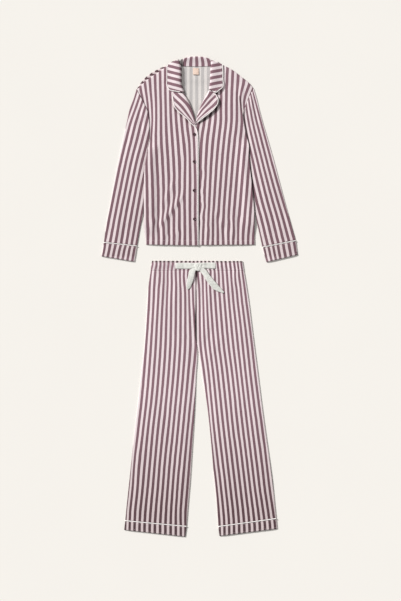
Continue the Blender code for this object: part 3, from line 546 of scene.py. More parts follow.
def flat_tube(name, x, y, along, top, wall, edge, materials, stripe, low=None, painted_shade=0.0):
    """A sleeve, cuff or hem band pressed flat, open at both ends: one wall all round."""
    nv, nu = x.shape
    r = edge / 2
    caps = 5
    d = np.stack([x[:, -1] - x[:, 0], y[:, -1] - y[:, 0]], 1)
    d /= np.linalg.norm(d, axis=1, keepdims=True)
    phi = np.linspace(-math.pi / 2, math.pi / 2, caps + 2)[1:-1]
    low = np.zeros_like(x) if low is None else low
    shells, cloth = [], []
    for depth in (0.0, wall):
        rr = r - depth
        c0 = np.stack([x[:, 0] + d[:, 0] * r, y[:, 0] + d[:, 1] * r], 1)
        c1 = np.stack([x[:, -1] - d[:, 0] * r, y[:, -1] - d[:, 1] * r], 1)
        px, py = x.copy(), y.copy()
        px[:, 0], py[:, 0], px[:, -1], py[:, -1] = c0[:, 0], c0[:, 1], c1[:, 0], c1[:, 1]
        for col in (1, -2):      # keep the next columns clear of the turned edge
            base = c0 if col == 1 else c1
            sign = 1 if col == 1 else -1
            gone = sign * ((px[:, col] - base[:, 0]) * d[:, 0] + (py[:, col] - base[:, 1]) * d[:, 1])
            push = np.clip(0.6 - gone, 0, None)
            px[:, col] += sign * push * d[:, 0]
            py[:, col] += sign * push * d[:, 1]
        ring = []
        for q in phi:
            ring.append(np.stack([c0[:, 0] - d[:, 0] * rr * math.cos(q), c0[:, 1] - d[:, 1] * rr * math.cos(q),
                                  low[:, 0] + r + rr * math.sin(q) * (top[:, 0] - low[:, 0]) / edge], 1))
        for i in range(nu):
            ring.append(np.stack([px[:, i], py[:, i], top[:, i] - depth], 1))
        for q in phi[::-1]:
            ring.append(np.stack([c1[:, 0] + d[:, 0] * rr * math.cos(q), c1[:, 1] + d[:, 1] * rr * math.cos(q),
                                  low[:, -1] + r + rr * math.sin(q) * (top[:, -1] - low[:, -1]) / edge], 1))
        for i in range(nu - 1, -1, -1):
            ring.append(np.stack([px[:, i], py[:, i], low[:, i] + depth], 1))
        shells.append(np.stack(ring, 1))
        s = np.concatenate([np.repeat(stripe[:, :1], caps, 1), stripe, np.repeat(stripe[:, -1:], caps, 1),
                            stripe[:, ::-1]], 1)
        t = np.concatenate([np.repeat(along[:, :1], caps, 1), along, np.repeat(along[:, -1:], caps, 1),
                            along[:, ::-1]], 1) / 1000
        # painted shade, given as a number or as a rule of x and y
        more = painted_shade(shells[-1][..., 0], shells[-1][..., 1]) if callable(painted_shade) else painted_shade
        cloth.append(np.stack([s, t, painted_falloff(shells[-1][..., 1]) + more], 2))
    m = shells[0].shape[1]
    k = np.arange(m)
    k2 = np.roll(k, -1)
    faces, which = [], []
    for j in range(nv - 1):
        a, b = j * m, (j + 1) * m
        faces.append(np.stack([a + k, a + k2, b + k2, b + k], 1))
        which.append(np.zeros(m))
    half = nv * m
    for j in range(nv - 1):
        a, b = half + j * m, half + (j + 1) * m
        faces.append(np.stack([a + k, b + k, b + k2, a + k2], 1))
        which.append(np.ones(m))
    last = (nv - 1) * m
    faces.append(np.stack([k, half + k, half + k2, k2], 1))
    faces.append(np.stack([last + k, last + k2, half + last + k2, half + last + k], 1))
    which += [np.zeros(m), np.zeros(m)]
    points = np.concatenate([s.reshape(-1, 3) for s in shells])
    return make(name, points, np.concatenate(faces), materials,
                np.concatenate(which) if len(materials) > 1 else None,
                np.concatenate([c.reshape(-1, 3) for c in cloth]))


def along_path(path, step, soft=True):
    """Points at even steps on a soft curve through those given, and their distances."""
    path = np.array(path, float)
    k = np.concatenate([[0], np.cumsum(np.linalg.norm(np.diff(path, axis=0), axis=1))])
    fine = path if not soft else smooth(np.linspace(0, k[-1], max(8, int(k[-1] / step) * 4)), k, path)
    k = np.concatenate([[0], np.cumsum(np.linalg.norm(np.diff(fine, axis=0), axis=1))])
    t = np.linspace(0, k[-1], max(3, round(k[-1] / step) + 1))
    return np.stack([np.interp(t, k, fine[:, c]) for c in range(path.shape[1])], 1), t


def cord(name, path, radius, material, closed=False, sides=8, step=3.0, flat=1.0, across=None):
    """Round piping or thread along a path; flat below 1 presses it down.
    A ring standing on edge, given the direction across it, keeps to straight runs and turns."""
    if closed:
        path = list(path) + [path[0]]
    p, t = along_path(path, step, soft=across is None)
    if closed:
        p, t = p[:-1], t[:-1]
        tangent = np.roll(p, -1, 0) - np.roll(p, 1, 0)
    else:
        tangent = np.gradient(p, axis=0)
    tangent /= np.linalg.norm(tangent, axis=1, keepdims=True)
    side = np.cross(tangent, [0, 0, 1.0]) if across is None else np.tile(np.array(across, float), (len(p), 1))
    bad = np.linalg.norm(side, axis=1) < 0.2
    side[bad] = side[~bad].mean(0) if (~bad).any() else [1, 0, 0]
    side /= np.linalg.norm(side, axis=1, keepdims=True)
    rise = np.cross(side, tangent)
    q = 2 * math.pi * (np.arange(sides) + 0.5) / sides
    scale = np.ones(len(p))
    if not closed:
        end = np.minimum(t, t[-1] - t)
        scale = np.sqrt(np.clip(1 - (1 - np.clip(end / radius, 0, 1)) ** 2, 0.05, 1))
    ring = (side[:, None] * np.cos(q)[None, :, None] + flat * rise[:, None] * np.sin(q)[None, :, None])
    points = p[:, None] + radius * scale[:, None, None] * ring
    n = len(p)
    k = np.arange(sides)
    k2 = np.roll(k, -1)
    faces = [np.stack([j * sides + k, ((j + 1) % n) * sides + k, ((j + 1) % n) * sides + k2, j * sides + k2], 1)
             for j in range(n if closed else n - 1)]
    points = points.reshape(-1, 3)
    tris = None
    if not closed:
        points = np.concatenate([points, p[:1], p[-1:]])
        a, b = len(points) - 2, len(points) - 1
        last = (n - 1) * sides
        tris = np.concatenate([np.stack([np.full(sides, a), k, k2], 1),
                               np.stack([np.full(sides, b), last + k2, last + k], 1)])
    c = np.zeros((len(points), 3))
    c[:n * sides, 0] = np.tile(k / sides, n)
    c[:n * sides, 1] = np.repeat(t, sides) / 1000
    c[:, 2] = painted_falloff(points[:, 1])
    return make(name, points, np.concatenate(faces), [material], None, c, tris)


# ---------------------------------------------------------------- materials
def srgb(r, g, b):
    def one(c):
        c /= 255
        return c / 12.92 if c <= 0.04045 else ((c + 0.055) / 1.055) ** 2.4
    return (one(r), one(g), one(b), 1.0)


class Tree:
    """Short names for building a material's nodes."""

    def __init__(self, name, roughness, **sockets):
        self.material = bpy.data.materials.new(name)
        self.material.use_nodes = True
        self.nodes, self.links = self.material.node_tree.nodes, self.material.node_tree.links
        self.shader = self.nodes["Principled BSDF"]
        self.shader.inputs["Roughness"].default_value = roughness
        for key, value in sockets.items():
            self.shader.inputs[key.replace("_", " ")].default_value = value

    def put(self, value, socket):
        if hasattr(value, "node"):
            self.links.new(value, socket)
        else:
            socket.default_value = value

    def math(self, operation, a, b=0.0, c=0.0, clamp=False):
        n = self.nodes.new("ShaderNodeMath")
        n.operation, n.use_clamp = operation, clamp
        for value, socket in zip((a, b, c), n.inputs):
            self.put(value, socket)
        return n.outputs[0]

    def attribute(self, name="cloth"):
        n = self.nodes.new("ShaderNodeAttribute")
        n.attribute_name = name
        s = self.nodes.new("ShaderNodeSeparateXYZ")
        self.links.new(n.outputs["Vector"], s.inputs[0])
        return s.outputs

    def vector(self, x, y, z=0.0):
        n = self.nodes.new("ShaderNodeCombineXYZ")
        for value, socket in zip((x, y, z), n.inputs):
            self.put(value, socket)
        return n.outputs[0]

    def place(self):
        return self.nodes.new("ShaderNodeTexCoord").outputs["Object"]

    def noise(self, vector, scale, detail=2.0, rough=0.5, stretch=None):
        if stretch:
            m = self.nodes.new("ShaderNodeMapping")
            m.inputs["Scale"].default_value = stretch
            self.links.new(vector, m.inputs[0])
            vector = m.outputs[0]
        n = self.nodes.new("ShaderNodeTexNoise")
        n.inputs["Scale"].default_value = scale
        n.inputs["Detail"].default_value = detail
        n.inputs["Roughness"].default_value = rough
        self.links.new(vector, n.inputs["Vector"])
        return n.outputs["Fac"]

    def span(self, value, low, high, a=0.0, b=1.0, kind="SMOOTHSTEP"):
        n = self.nodes.new("ShaderNodeMapRange")
        n.interpolation_type = kind
        for v, socket in zip((value, low, high, a, b), n.inputs):
            self.put(v, socket)
        return n.outputs[0]

    def mix(self, f, a, b, kind="MIX"):
        n = self.nodes.new("ShaderNodeMix")
        n.data_type, n.blend_type = "RGBA", kind
        self.put(f, n.inputs[0])
        self.put(a, n.inputs[6])
        self.put(b, n.inputs[7])
        return n.outputs[2]

    def bump(self, height, distance, strength=1.0, below=None):
        n = self.nodes.new("ShaderNodeBump")
        n.inputs["Strength"].default_value = strength
        n.inputs["Distance"].default_value = distance
        self.links.new(height, n.inputs["Height"])
        if below is not None:
            self.links.new(below, n.inputs["Normal"])
        return n.outputs[0]

    def finish(self, colour, normal=None):
        self.links.new(colour, self.shader.inputs["Base Color"])
        if normal is not None:
            self.links.new(normal, self.shader.inputs["Normal"])
        return self.material


# the _LOW colours are shaded copies of the _TOP ones, mixed in by the painted falloff and the painted shade
DARK_TOP, DARK_LOW = srgb(129, 95, 106), srgb(80, 51, 57)
LIGHT_TOP, LIGHT_LOW = srgb(234, 220, 223), srgb(211, 196, 197)
FADED_DARK, FADED_LIGHT = srgb(191, 187, 186), srgb(222, 217, 214)


def striped(name, faded=False, duty=0.53):
    """Yarn-dyed cotton: stripes by number, a plain weave, slubs and a soft crumple, and painted shade from the third
    number of the cloth attribute.
    """
    t = Tree(name, 0.86, Sheen_Weight=0.18, Sheen_Roughness=0.45, Specular_IOR_Level=0.25)
    s, along, low = t.attribute()
    across = t.math("MULTIPLY", s, PITCH / 1000)
    thread = t.vector(across, along)
    waver = t.noise(thread, 38, 2.0, stretch=(0.35, 1.0, 1.0))
    number = t.math("ADD", s, t.math("MULTIPLY", t.math("SUBTRACT", waver, 0.5), 0.07))
    part = t.math("ABSOLUTE", t.math("SUBTRACT", t.math("FRACT", t.math("ADD", number, 0.5)), 0.5))
    is_dark = t.span(part, duty / 2 - 0.018, duty / 2 + 0.018, 1.0, 0.0)
    # numbers past 1 are painted shade: they darken the colour where cloth lies close against another piece and little
    # light gets in
    painted_crevice_shade = t.math("MAXIMUM", t.math("SUBTRACT", low, 1.5), 0.0)
    if faded:
        black = srgb(24, 18, 20)
        painted_crevice_shade = t.math("MULTIPLY", painted_crevice_shade, 0.45)
        dark, light = t.mix(painted_crevice_shade, FADED_DARK, black), t.mix(painted_crevice_shade, FADED_LIGHT, black)
    else:
        # painted shade darkens the dark stripes past 1 and the light stripes past 1.5
        past = t.math("MAXIMUM", t.math("SUBTRACT", low, 1.0), 0.0)
        k = t.math("DIVIDE", 1.0, t.math("MULTIPLY_ADD", past, 2.6, 1.0))
        dark = t.mix(1.0, t.mix(low, DARK_TOP, DARK_LOW), t.vector(k, k, k), "MULTIPLY")
        k = t.math("DIVIDE", 1.0, t.math("MULTIPLY_ADD", painted_crevice_shade, 2.1, 1.0))
        light = t.mix(1.0, t.mix(low, LIGHT_TOP, LIGHT_LOW), t.vector(k, k, k), "MULTIPLY")
    slub = t.noise(thread, 1.0, 3.0, 0.65, stretch=(900, 70, 1))
    patchy = t.noise(t.place(), 9.0, 3.0, 0.55)
    dark = t.mix(t.span(slub, 0.3, 0.7), dark, t.mix(0.12, dark, (0.55, 0.42, 0.46, 1)) if not faded else dark)
    colour = t.mix(is_dark, light, dark)
    shade = t.math("ADD", 0.93, t.math("ADD", t.math("MULTIPLY", slub, 0.05), t.math("MULTIPLY", patchy, 0.09)))
    colour = t.mix(1.0, colour, t.vector(shade, shade, shade), "MULTIPLY")
    weave = t.math("ADD", t.math("SINE", t.math("MULTIPLY", across, 2 * math.pi / 0.0007)),
                   t.math("SINE", t.math("MULTIPLY", along, 2 * math.pi / 0.0007)))
    normal = t.bump(weave, 0.00005, 0.45)
    normal = t.bump(t.noise(t.place(), 150, 3.0, 0.6), 0.0006, 0.35, normal)
    normal = t.bump(t.noise(t.place(), 42, 3.0, 0.55, stretch=(1.0, 0.55, 1.0)), 0.0032, 0.35, normal)
    return t.finish(colour, normal)


def trim():
    t = Tree("piping", 0.6, Sheen_Weight=0.15, Sheen_Roughness=0.4, Specular_IOR_Level=0.35)
    s, along, low = t.attribute()
    twist = t.math("SINE", t.math("ADD", t.math("MULTIPLY", along, 2 * math.pi / 0.0016),
                                  t.math("MULTIPLY", s, 2 * math.pi)))
    grain = t.noise(t.place(), 300, 2.0)
    colour = t.mix(t.span(grain, 0.3, 0.7), srgb(250, 245, 243), srgb(255, 252, 250))
    return t.finish(colour, t.bump(twist, 0.0001, 0.5))


def thread(name, colour):
    t = Tree(name, 0.55, Sheen_Weight=0.2, Sheen_Roughness=0.4)
    grain = t.noise(t.place(), 900, 2.0)
    return t.finish(t.mix(grain, colour, tuple(0.8 * c for c in colour[:3]) + (1,)), t.bump(grain, 0.0001, 0.4))


def tape(name, light, dark, ribs=0.0013):
    t = Tree(name, 0.62, Sheen_Weight=0.25, Sheen_Roughness=0.35, Specular_IOR_Level=0.35)
    s, along, low = t.attribute()
    rib = t.math("SINE", t.math("MULTIPLY", along, 2 * math.pi / ribs))
    fine = t.math("SINE", t.math("MULTIPLY", s, 2 * math.pi / 0.0009))
    mottle = t.noise(t.place(), 120, 3.0, 0.6)
    colour = t.mix(t.span(mottle, 0.3, 0.7), dark, light)
    normal = t.bump(t.math("ADD", rib, t.math("MULTIPLY", fine, 0.4)), 0.00012, 0.55)
    return t.finish(colour, t.bump(mottle, 0.0008, 0.35, normal))


def horn():
    """Plum-coloured plastic of the buttons."""
    t = Tree("button_plastic", 0.32, Coat_Weight=0.2, Coat_Roughness=0.12)
    swirl = t.noise(t.place(), 260, 4.0, 0.6, stretch=(1, 0.35, 1))
    colour = t.mix(t.span(swirl, 0.35, 0.65), srgb(50, 24, 32), srgb(92, 56, 66))
    return t.finish(colour, t.bump(swirl, 0.0002, 0.12))


OUTER, INSIDE = striped("striped_cotton"), striped("striped_cotton_inside", faded=True)
PIPING, BUTTON_MAT = trim(), horn()
TAPE = tape("neck_tape", srgb(240, 216, 200), srgb(226, 198, 182), 0.0009)
RIBBON = tape("waist_ribbon", srgb(231, 231, 226), srgb(214, 215, 208), 0.0009)
THREAD_LIGHT, THREAD_PLUM = thread("thread_light", srgb(240, 226, 228)), thread("thread_plum", srgb(96, 58, 70))
CLOTHS = (OUTER, INSIDE)


# ---------------------------------------------------------------- heights
def back_under(x, y, from_right, from_left):
    collar = COLLAR_LIFT * ease((y - 795) / 22) * ease((165 - abs(x + 13)) / 50)
    sides = np.zeros_like(x)
    for d, top, foot in ((from_right, 583, 545), (from_left, 598, 560)):
        along = ease((top - y) / (top - foot)) * ease((y - 225) / 60)
        sides = np.maximum(sides, BODY_LIFT * along * ease((52 - d) / 34))
    return np.maximum(collar, sides)


def front_top(x, y):
    far = np.full_like(np.asarray(x, float), 999.0)
    return back_under(np.asarray(x, float), np.asarray(y, float), far, far) + WALL + GAP + PUFF + WALL


def hem_turn(y, hem):
    """The hem is turned up: a step of one more ply below its stitching."""
    return 0.45 * ease((hem - y) / 1.6)


def front_rise(d_side, d_in, x, y, right):
    """How far a front stands off the back."""
    crown = ease(d_side / 45)
    if right:
        z = 2.3 * crown + 1.5 * ease((12 - d_in) / 12) * ease((620 - y) / 30)     # the edge stands up a little
    else:
        z = 0.5 * ease(d_side / 20) + 1.8 * crown * ease((d_in - 26) / 40)
    table = FOLDS_FRONT_R if right else FOLDS_FRONT_L
    open_ = ease(d_side / 26) * ease((d_in - (16 if right else 26)) / 26)
    z = z + folds(table, x, y) * open_ + 0.35 * drift(x, y, 3 if right else 5) * open_
    return np.maximum(z, 0.15) + hem_turn(y, 211.3)


def panel(name, node, x, y, under, wall, stripe, along, reverse=False, materials=CLOTHS, painted_shade=0.0):
    ob = skin(name, raised(x, y, under + wall / 2), wall, materials, stripe, along, reverse, painted_shade)
    return place(ob, "striped_cloth", node)


PIECES = {}


def build_shirt_body():
    left, right = ARMHOLE_L + SIDE_L, ARMHOLE_R + SIDE_R
    rows = [(*r, *l) for r, l in zip(right, left)]
    fade = (1, 0.85, 0.7, 0.55, 0.42, 0.3, 0.2, 0.1, 0)
    x, y, along = patch(rows, 4.6, top=BACK_TOP, fade=fade)
    d0, d1 = spans(x, y)
    inner_ = ease(np.minimum(d0, d1) / 60)
    under = back_under(x, y, d0, d1) + np.clip(folds(FOLDS_BACK, x, y), 0, 9) * inner_ * ease((y - 205) / 40)
    stripe = (x + 10) / 21.75
    # over the shoulders the back turns forwards as a narrow edge above the seam, and shows its face
    sliver = np.zeros_like(x)
    for line, guides, lean in ((SHOULDER_R, STRIPES_FRONT_R, 1.6), (SHOULDER_L, STRIPES_FRONT_L, -0.4)):
        line = np.array(line, float)
        inside_ = (x > line[0, 0] - 4) & (x < line[-1, 0])
        above = y - np.interp(x, line[:, 0], line[:, 1])
        near = inside_ & (above > -14)
        s = guided(guides, x + lean * np.clip(above, 0, 9) + 1.0, np.minimum(y, y - above))
        stripe = np.where(near, s, stripe)
        sliver = np.where(near & (above > -9), 1, sliver)
    # painted shadow deep in the crease beside the right side's roll; the shoulder sliver is painted a step darker as
    # shade too
    beside = x - np.interp(-y, [-b for _, b in INNER_R], [a for a, _ in INNER_R])
    painted_crevice_shade = 3.2 * np.exp(-((beside - 2.0) / 3.6) ** 2) * ease((y - 650) / 60) * (0.55 + 0.45 * ease((y - 770) / 60))
    ob = skin("shirt_back_cloth", raised(x, y, under + WALL / 2), WALL, CLOTHS, stripe, along, reverse=True,
              painted_shade=painted_crevice_shade + 1.0 * sliver)
    nv, nu = x.shape
    shown = np.minimum(np.minimum(sliver[:-1, :-1], sliver[1:, :-1]),
                       np.minimum(sliver[:-1, 1:], sliver[1:, 1:])).ravel() > 0
    index = np.zeros(len(ob.data.polygons), np.int32)
    ob.data.polygons.foreach_get("material_index", index)
    index[:len(shown)][shown] = 0
    rim = np.array([p.index for p in ob.data.polygons if (nv - 1) * (nu - 1) <= p.index
                    and p.center[1] * 1000 > 781.0 and p.center[0] * 1000 < -79])
    index[rim] = 0
    ob.data.polygons.foreach_set("material_index", index)
    PIECES["back"] = place(ob, "striped_cloth", "shirt_back")

    rows = [(*o, *i) for o, i in zip(right, INNER_R)]
    rows[0] = (*SHOULDER_R[0], *SHOULDER_R[-1])
    x, y, along = patch(rows, 3.6, top=SHOULDER_R, fade=(1, 0.5, 0.2, 0))
    d0, d1 = spans(x, y)
    # the neck edge is drawn back under the collar, out of the way of its roll
    draw = 3.2 * ease((y - 640) / 30) * ease((12 - d1) / 12)
    x = x - draw
    z = back_under(x, y, d0, np.full_like(x, 999)) + WALL + GAP + front_rise(d0, d1, x, y, True)
    # painted shadow along the armhole seam and under the outer edge of lapel_r
    painted_crevice_shade = (0.9 * np.exp(-(off_line(x, y, ARMHOLE_R) / 3) ** 2)
              + 1.1 * np.exp(-(off_line(x, y, [(r[0] - 3.5, r[1] - 3.5) for r in LAPEL_R[1:]]) / 3.4) ** 2))
    PIECES["front_r"] = panel("shirt_front_r_cloth", "shirt_front_r", x, y, z, WALL,
                              guided(STRIPES_FRONT_R, swayed(SWAY_FRONT_R, x, y), y), along, painted_shade=painted_crevice_shade)

    rows = [(*i, *o) for i, o in zip(INNER_L, left)]
    rows[0] = (*SHOULDER_L[0], *SHOULDER_L[-1])
    x, y, along = patch(rows, 3.6, top=SHOULDER_L, fade=(1, 0.5, 0.2, 0))
    d0, d1 = spans(x, y)
    draw = 3.2 * ease((y - 690) / 30) * ease((12 - d0) / 12)
    x = x + draw
    z = back_under(x, y, np.full_like(x, 999), d1) + WALL + GAP + front_rise(d1, d0, x, y, False)
    # painted shadow under the outer edge of lapel_l, at the notch, along the right front's edge, in the shoulder
    # crease and along the armhole seam
    under_lapel = off_line(x, y, [(r[2] + 3.5, r[3] - 4.5) for r in LAPEL_L[1:]])
    crease = off_line(x, y, ((151, 752), (158, 707), (164, 680)))
    painted_crevice_shade = (2.3 * np.exp(-(under_lapel / 4.2) ** 2) * ease((x + 8) / 10)
              + 2.4 * np.exp(-(np.hypot(x - 61, y - 765) / 6.5) ** 2)
              + (1.1 + 1.3 * ease((330 - y) / 70)) * np.exp(-((x + 3.4) / 3.0) ** 2) * ease((648 - y) / 20)
              + 1.5 * np.exp(-(crease / 3) ** 2) + 0.8 * np.exp(-(off_line(x, y, ARMHOLE_L) / 3) ** 2))
    PIECES["front_l"] = panel("shirt_front_l_cloth", "shirt_front_l", x, y, z, WALL,
                              guided(STRIPES_FRONT_L, swayed(SWAY_FRONT_L, x, y), y), along, painted_shade=painted_crevice_shade)


def build_sleeves():
    fade = (1, 0.8, 0.6, 0.4, 0.2, 0)
    for side, rows, hole, out, table, guides in (
            ("r", SLEEVE_R, ARMHOLE_R, -1, FOLDS_SLEEVE_R, STRIPES_SLEEVE_R),
            ("l", SLEEVE_L, ARMHOLE_L[::-1], 1, FOLDS_SLEEVE_L, STRIPES_SLEEVE_L)):
        rows = [list(r) for r in rows]
        top = [(x + out * SEAM, y) for x, y in hole]
        for k, wide in enumerate((1, 1, 0.6)):
            rows[k][0] += out * SEAM * wide
            rows[k][2] += out * SEAM * wide
        x, y, along = patch(rows, 3.8, top=top, fade=fade)
        d0, d1 = spans(x, y)
        near = np.minimum(d0, d1)
        bow = ease(near / 26)
        # the part under the shirt's side stays low
        covered = (d1 if side == "r" else d0)
        quiet = 1 - 0.85 * ease((26 - covered) / 14)
        z = 2 * WALL + GAP + 2.0 * ease(near / 45) + bow * quiet * (
            folds(table, x, y) + 0.3 * drift(x, y, 8 + out, 55))
        z = np.maximum(z, 2 * WALL + GAP)
        body = ARMHOLE_R[3:] + SIDE_R if side == "r" else ARMHOLE_L[3:] + SIDE_L[:6]

        # painted shadow along the shirt's side where it lies over the sleeve
        def painted_crevice_shade(px, py, body=body, out=out, much=(0.45 if side == "r" else 2.3)):
            return much * np.exp(-(off_line(px - out * 1.6, py, body) / 3.2) ** 2)

        ob = flat_tube(f"sleeve_{side}_cloth", x, y, along, z, WALL, 2 * WALL + GAP, CLOTHS,
                       guided(guides, x, y), painted_shade=painted_crevice_shade)
        PIECES["sleeve_" + side] = place(ob, "striped_cloth", "sleeve_" + side)
    for side, rows, guides in (("r", CUFF_R, STRIPES_CUFF_R), ("l", CUFF_L, STRIPES_CUFF_L)):
        x, y, along = patch(rows, 3.4)
        d0, d1 = spans(x, y)
        near = np.minimum(d0, d1)
        z = 2 * WALL_DOUBLE + GAP + 1.2 * ease(near / 20) + 0.35 * ease(near / 16) * drift(x, y, 4, 30)
        z = np.maximum(z, 2 * WALL_DOUBLE + GAP)
        # a little painted shade over the whole cuff
        ob = flat_tube(f"cuff_{side}_cloth", x, y, along, z, WALL_DOUBLE, 2 * WALL_DOUBLE + GAP,
                       CLOTHS, guided(guides, x, y), painted_shade=0.1)
        PIECES["cuff_" + side] = place(ob, "striped_cloth", "cuff_" + side)
    for side, above, below in (("r", SLEEVE_R[-1], CUFF_R[0]), ("l", SLEEVE_L[-1], CUFF_L[0])):
        ring_piping("cuff_piping_" + side, above, below)


def ring_piping(node, above, below, bow=0.0):
    x0, y0 = (above[0] + below[0]) / 2, (above[1] + below[1]) / 2
    x1, y1 = (above[2] + below[2]) / 2, (above[3] + below[3]) / 2
    k = 2.6 / math.hypot(x1 - x0, y1 - y0)
    x0, y0, x1, y1 = x0 + (x1 - x0) * k, y0 + (y1 - y0) * k, x1 - (x1 - x0) * k, y1 - (y1 - y0) * k
    long = math.hypot(x1 - x0, y1 - y0)
    ux, uy = (x1 - x0) / long, (y1 - y0) / long
    low, high = PIPE_R + 0.05, 3.2 * PIPE_R + GAP
    mid, half = (low + high) / 2, (high - low) / 2
    run = np.linspace(0, 1, 30)
    turn = np.linspace(math.pi / 2, -math.pi / 2, 11)[1:-1]
    path = [(x0 + (x1 - x0) * f, y0 + (y1 - y0) * f, high + 0.35 * math.sin(math.pi * f)) for f in run]
    path += [(x1 + ux * half * math.cos(q), y1 + uy * half * math.cos(q), mid + half * math.sin(q)) for q in turn]
    path += [(x1 + (x0 - x1) * f, y1 + (y0 - y1) * f, low) for f in run]
    path += [(x0 - ux * half * math.cos(q), y0 - uy * half * math.cos(q), mid - half * math.sin(q)) for q in turn]
    ob = cord(node + "_cord", path, PIPE_R, PIPING, closed=True, step=1.0, across=(uy, -ux, 0))
    PIECES[node] = place(ob, "piping", node)


# ---------------------------------------------------------------- collar
# a fold-over in section: distance outwards from the roll line, and height above the shirt's front
ROLL = ((0.9, -1.6), (0.2, 0.8), (0.0, 3.2), (0.4, 5.4), (1.8, 7.0), (5.0, 7.8))
# the same where the inside of the stand shows: its foot comes out under the roll
ROLL_OPEN = ((-4.8, -2.5), (-4.4, -0.8), (-3.2, 1.6), (-1.6, 4.0), (-0.3, 6.0), (0.8, 7.4), (2.8, 8.4), (6.4, 8.6))
ROLL_LAPEL = ((-2.6, -2.2), (-2.0, 0.0), (-0.9, 2.6), (0.0, 4.8), (1.4, 6.6), (4.6, 7.4))


def rolled(rows, side, step, height, edge_lift, edge_curl, wall, inset, section):
    """The grid of a collar or lapel: up from its foot, over the roll and out to its edge.
    height, edge_lift and edge_curl say how tall the roll is and how the outer edge stands."""
    x, y, along = patch(rows, step, across=3)
    if side == 0:
        x, y = x[:, ::-1], y[:, ::-1]
    x0, y0, x1, y1 = x[:, 0], y[:, 0], x[:, -1], y[:, -1]      # roll, outer edge
    wide = np.hypot(x1 - x0, y1 - y0)
    ux, uy = (x1 - x0) / wide, (y1 - y0) / wide
    wide = wide - inset
    n = max(6, int(wide.max() / step))
    f = np.linspace(0, 1, n + 1)
    flow = (along[:, 0] - along[0, 0]) / (along[-1, 0] - along[0, 0])
    tall = height(flow)
    points, offset = [], []
    for q, h in section[:-1]:
        narrow = np.minimum(1.0, wide / 14)
        d = q * narrow
        points.append(np.stack([x0 + ux * d, y0 + uy * d, h * tall], 1))
        offset.append(d)
    for g in f:
        start = np.minimum(section[-1][0], 0.35 * wide)
        d = start + g * (wide - start)
        z = (1 - ease(g * 1.02)) * section[-1][1] * tall + ease(g) * edge_lift(flow) + edge_curl(flow) * ease((g - 0.6) / 0.4)
        z = z + 0.5 * math.sin(math.pi * g) * tall
        points.append(np.stack([x0 + ux * d, y0 + uy * d, z], 1))
        offset.append(d)
    grid = np.stack(points, 1)
    base = front_top(grid[..., 0], grid[..., 1])
    grid[..., 2] += base
    return grid, np.broadcast_to(along[:, :1], grid.shape[:2]), np.stack(offset, 1)


def shifted(rows, first, last):
    rows = [list(r) for r in rows]
    for k, by in ((0, first), (-1, last)):
        rows[k][1] += by
        rows[k][3] += by
    return rows


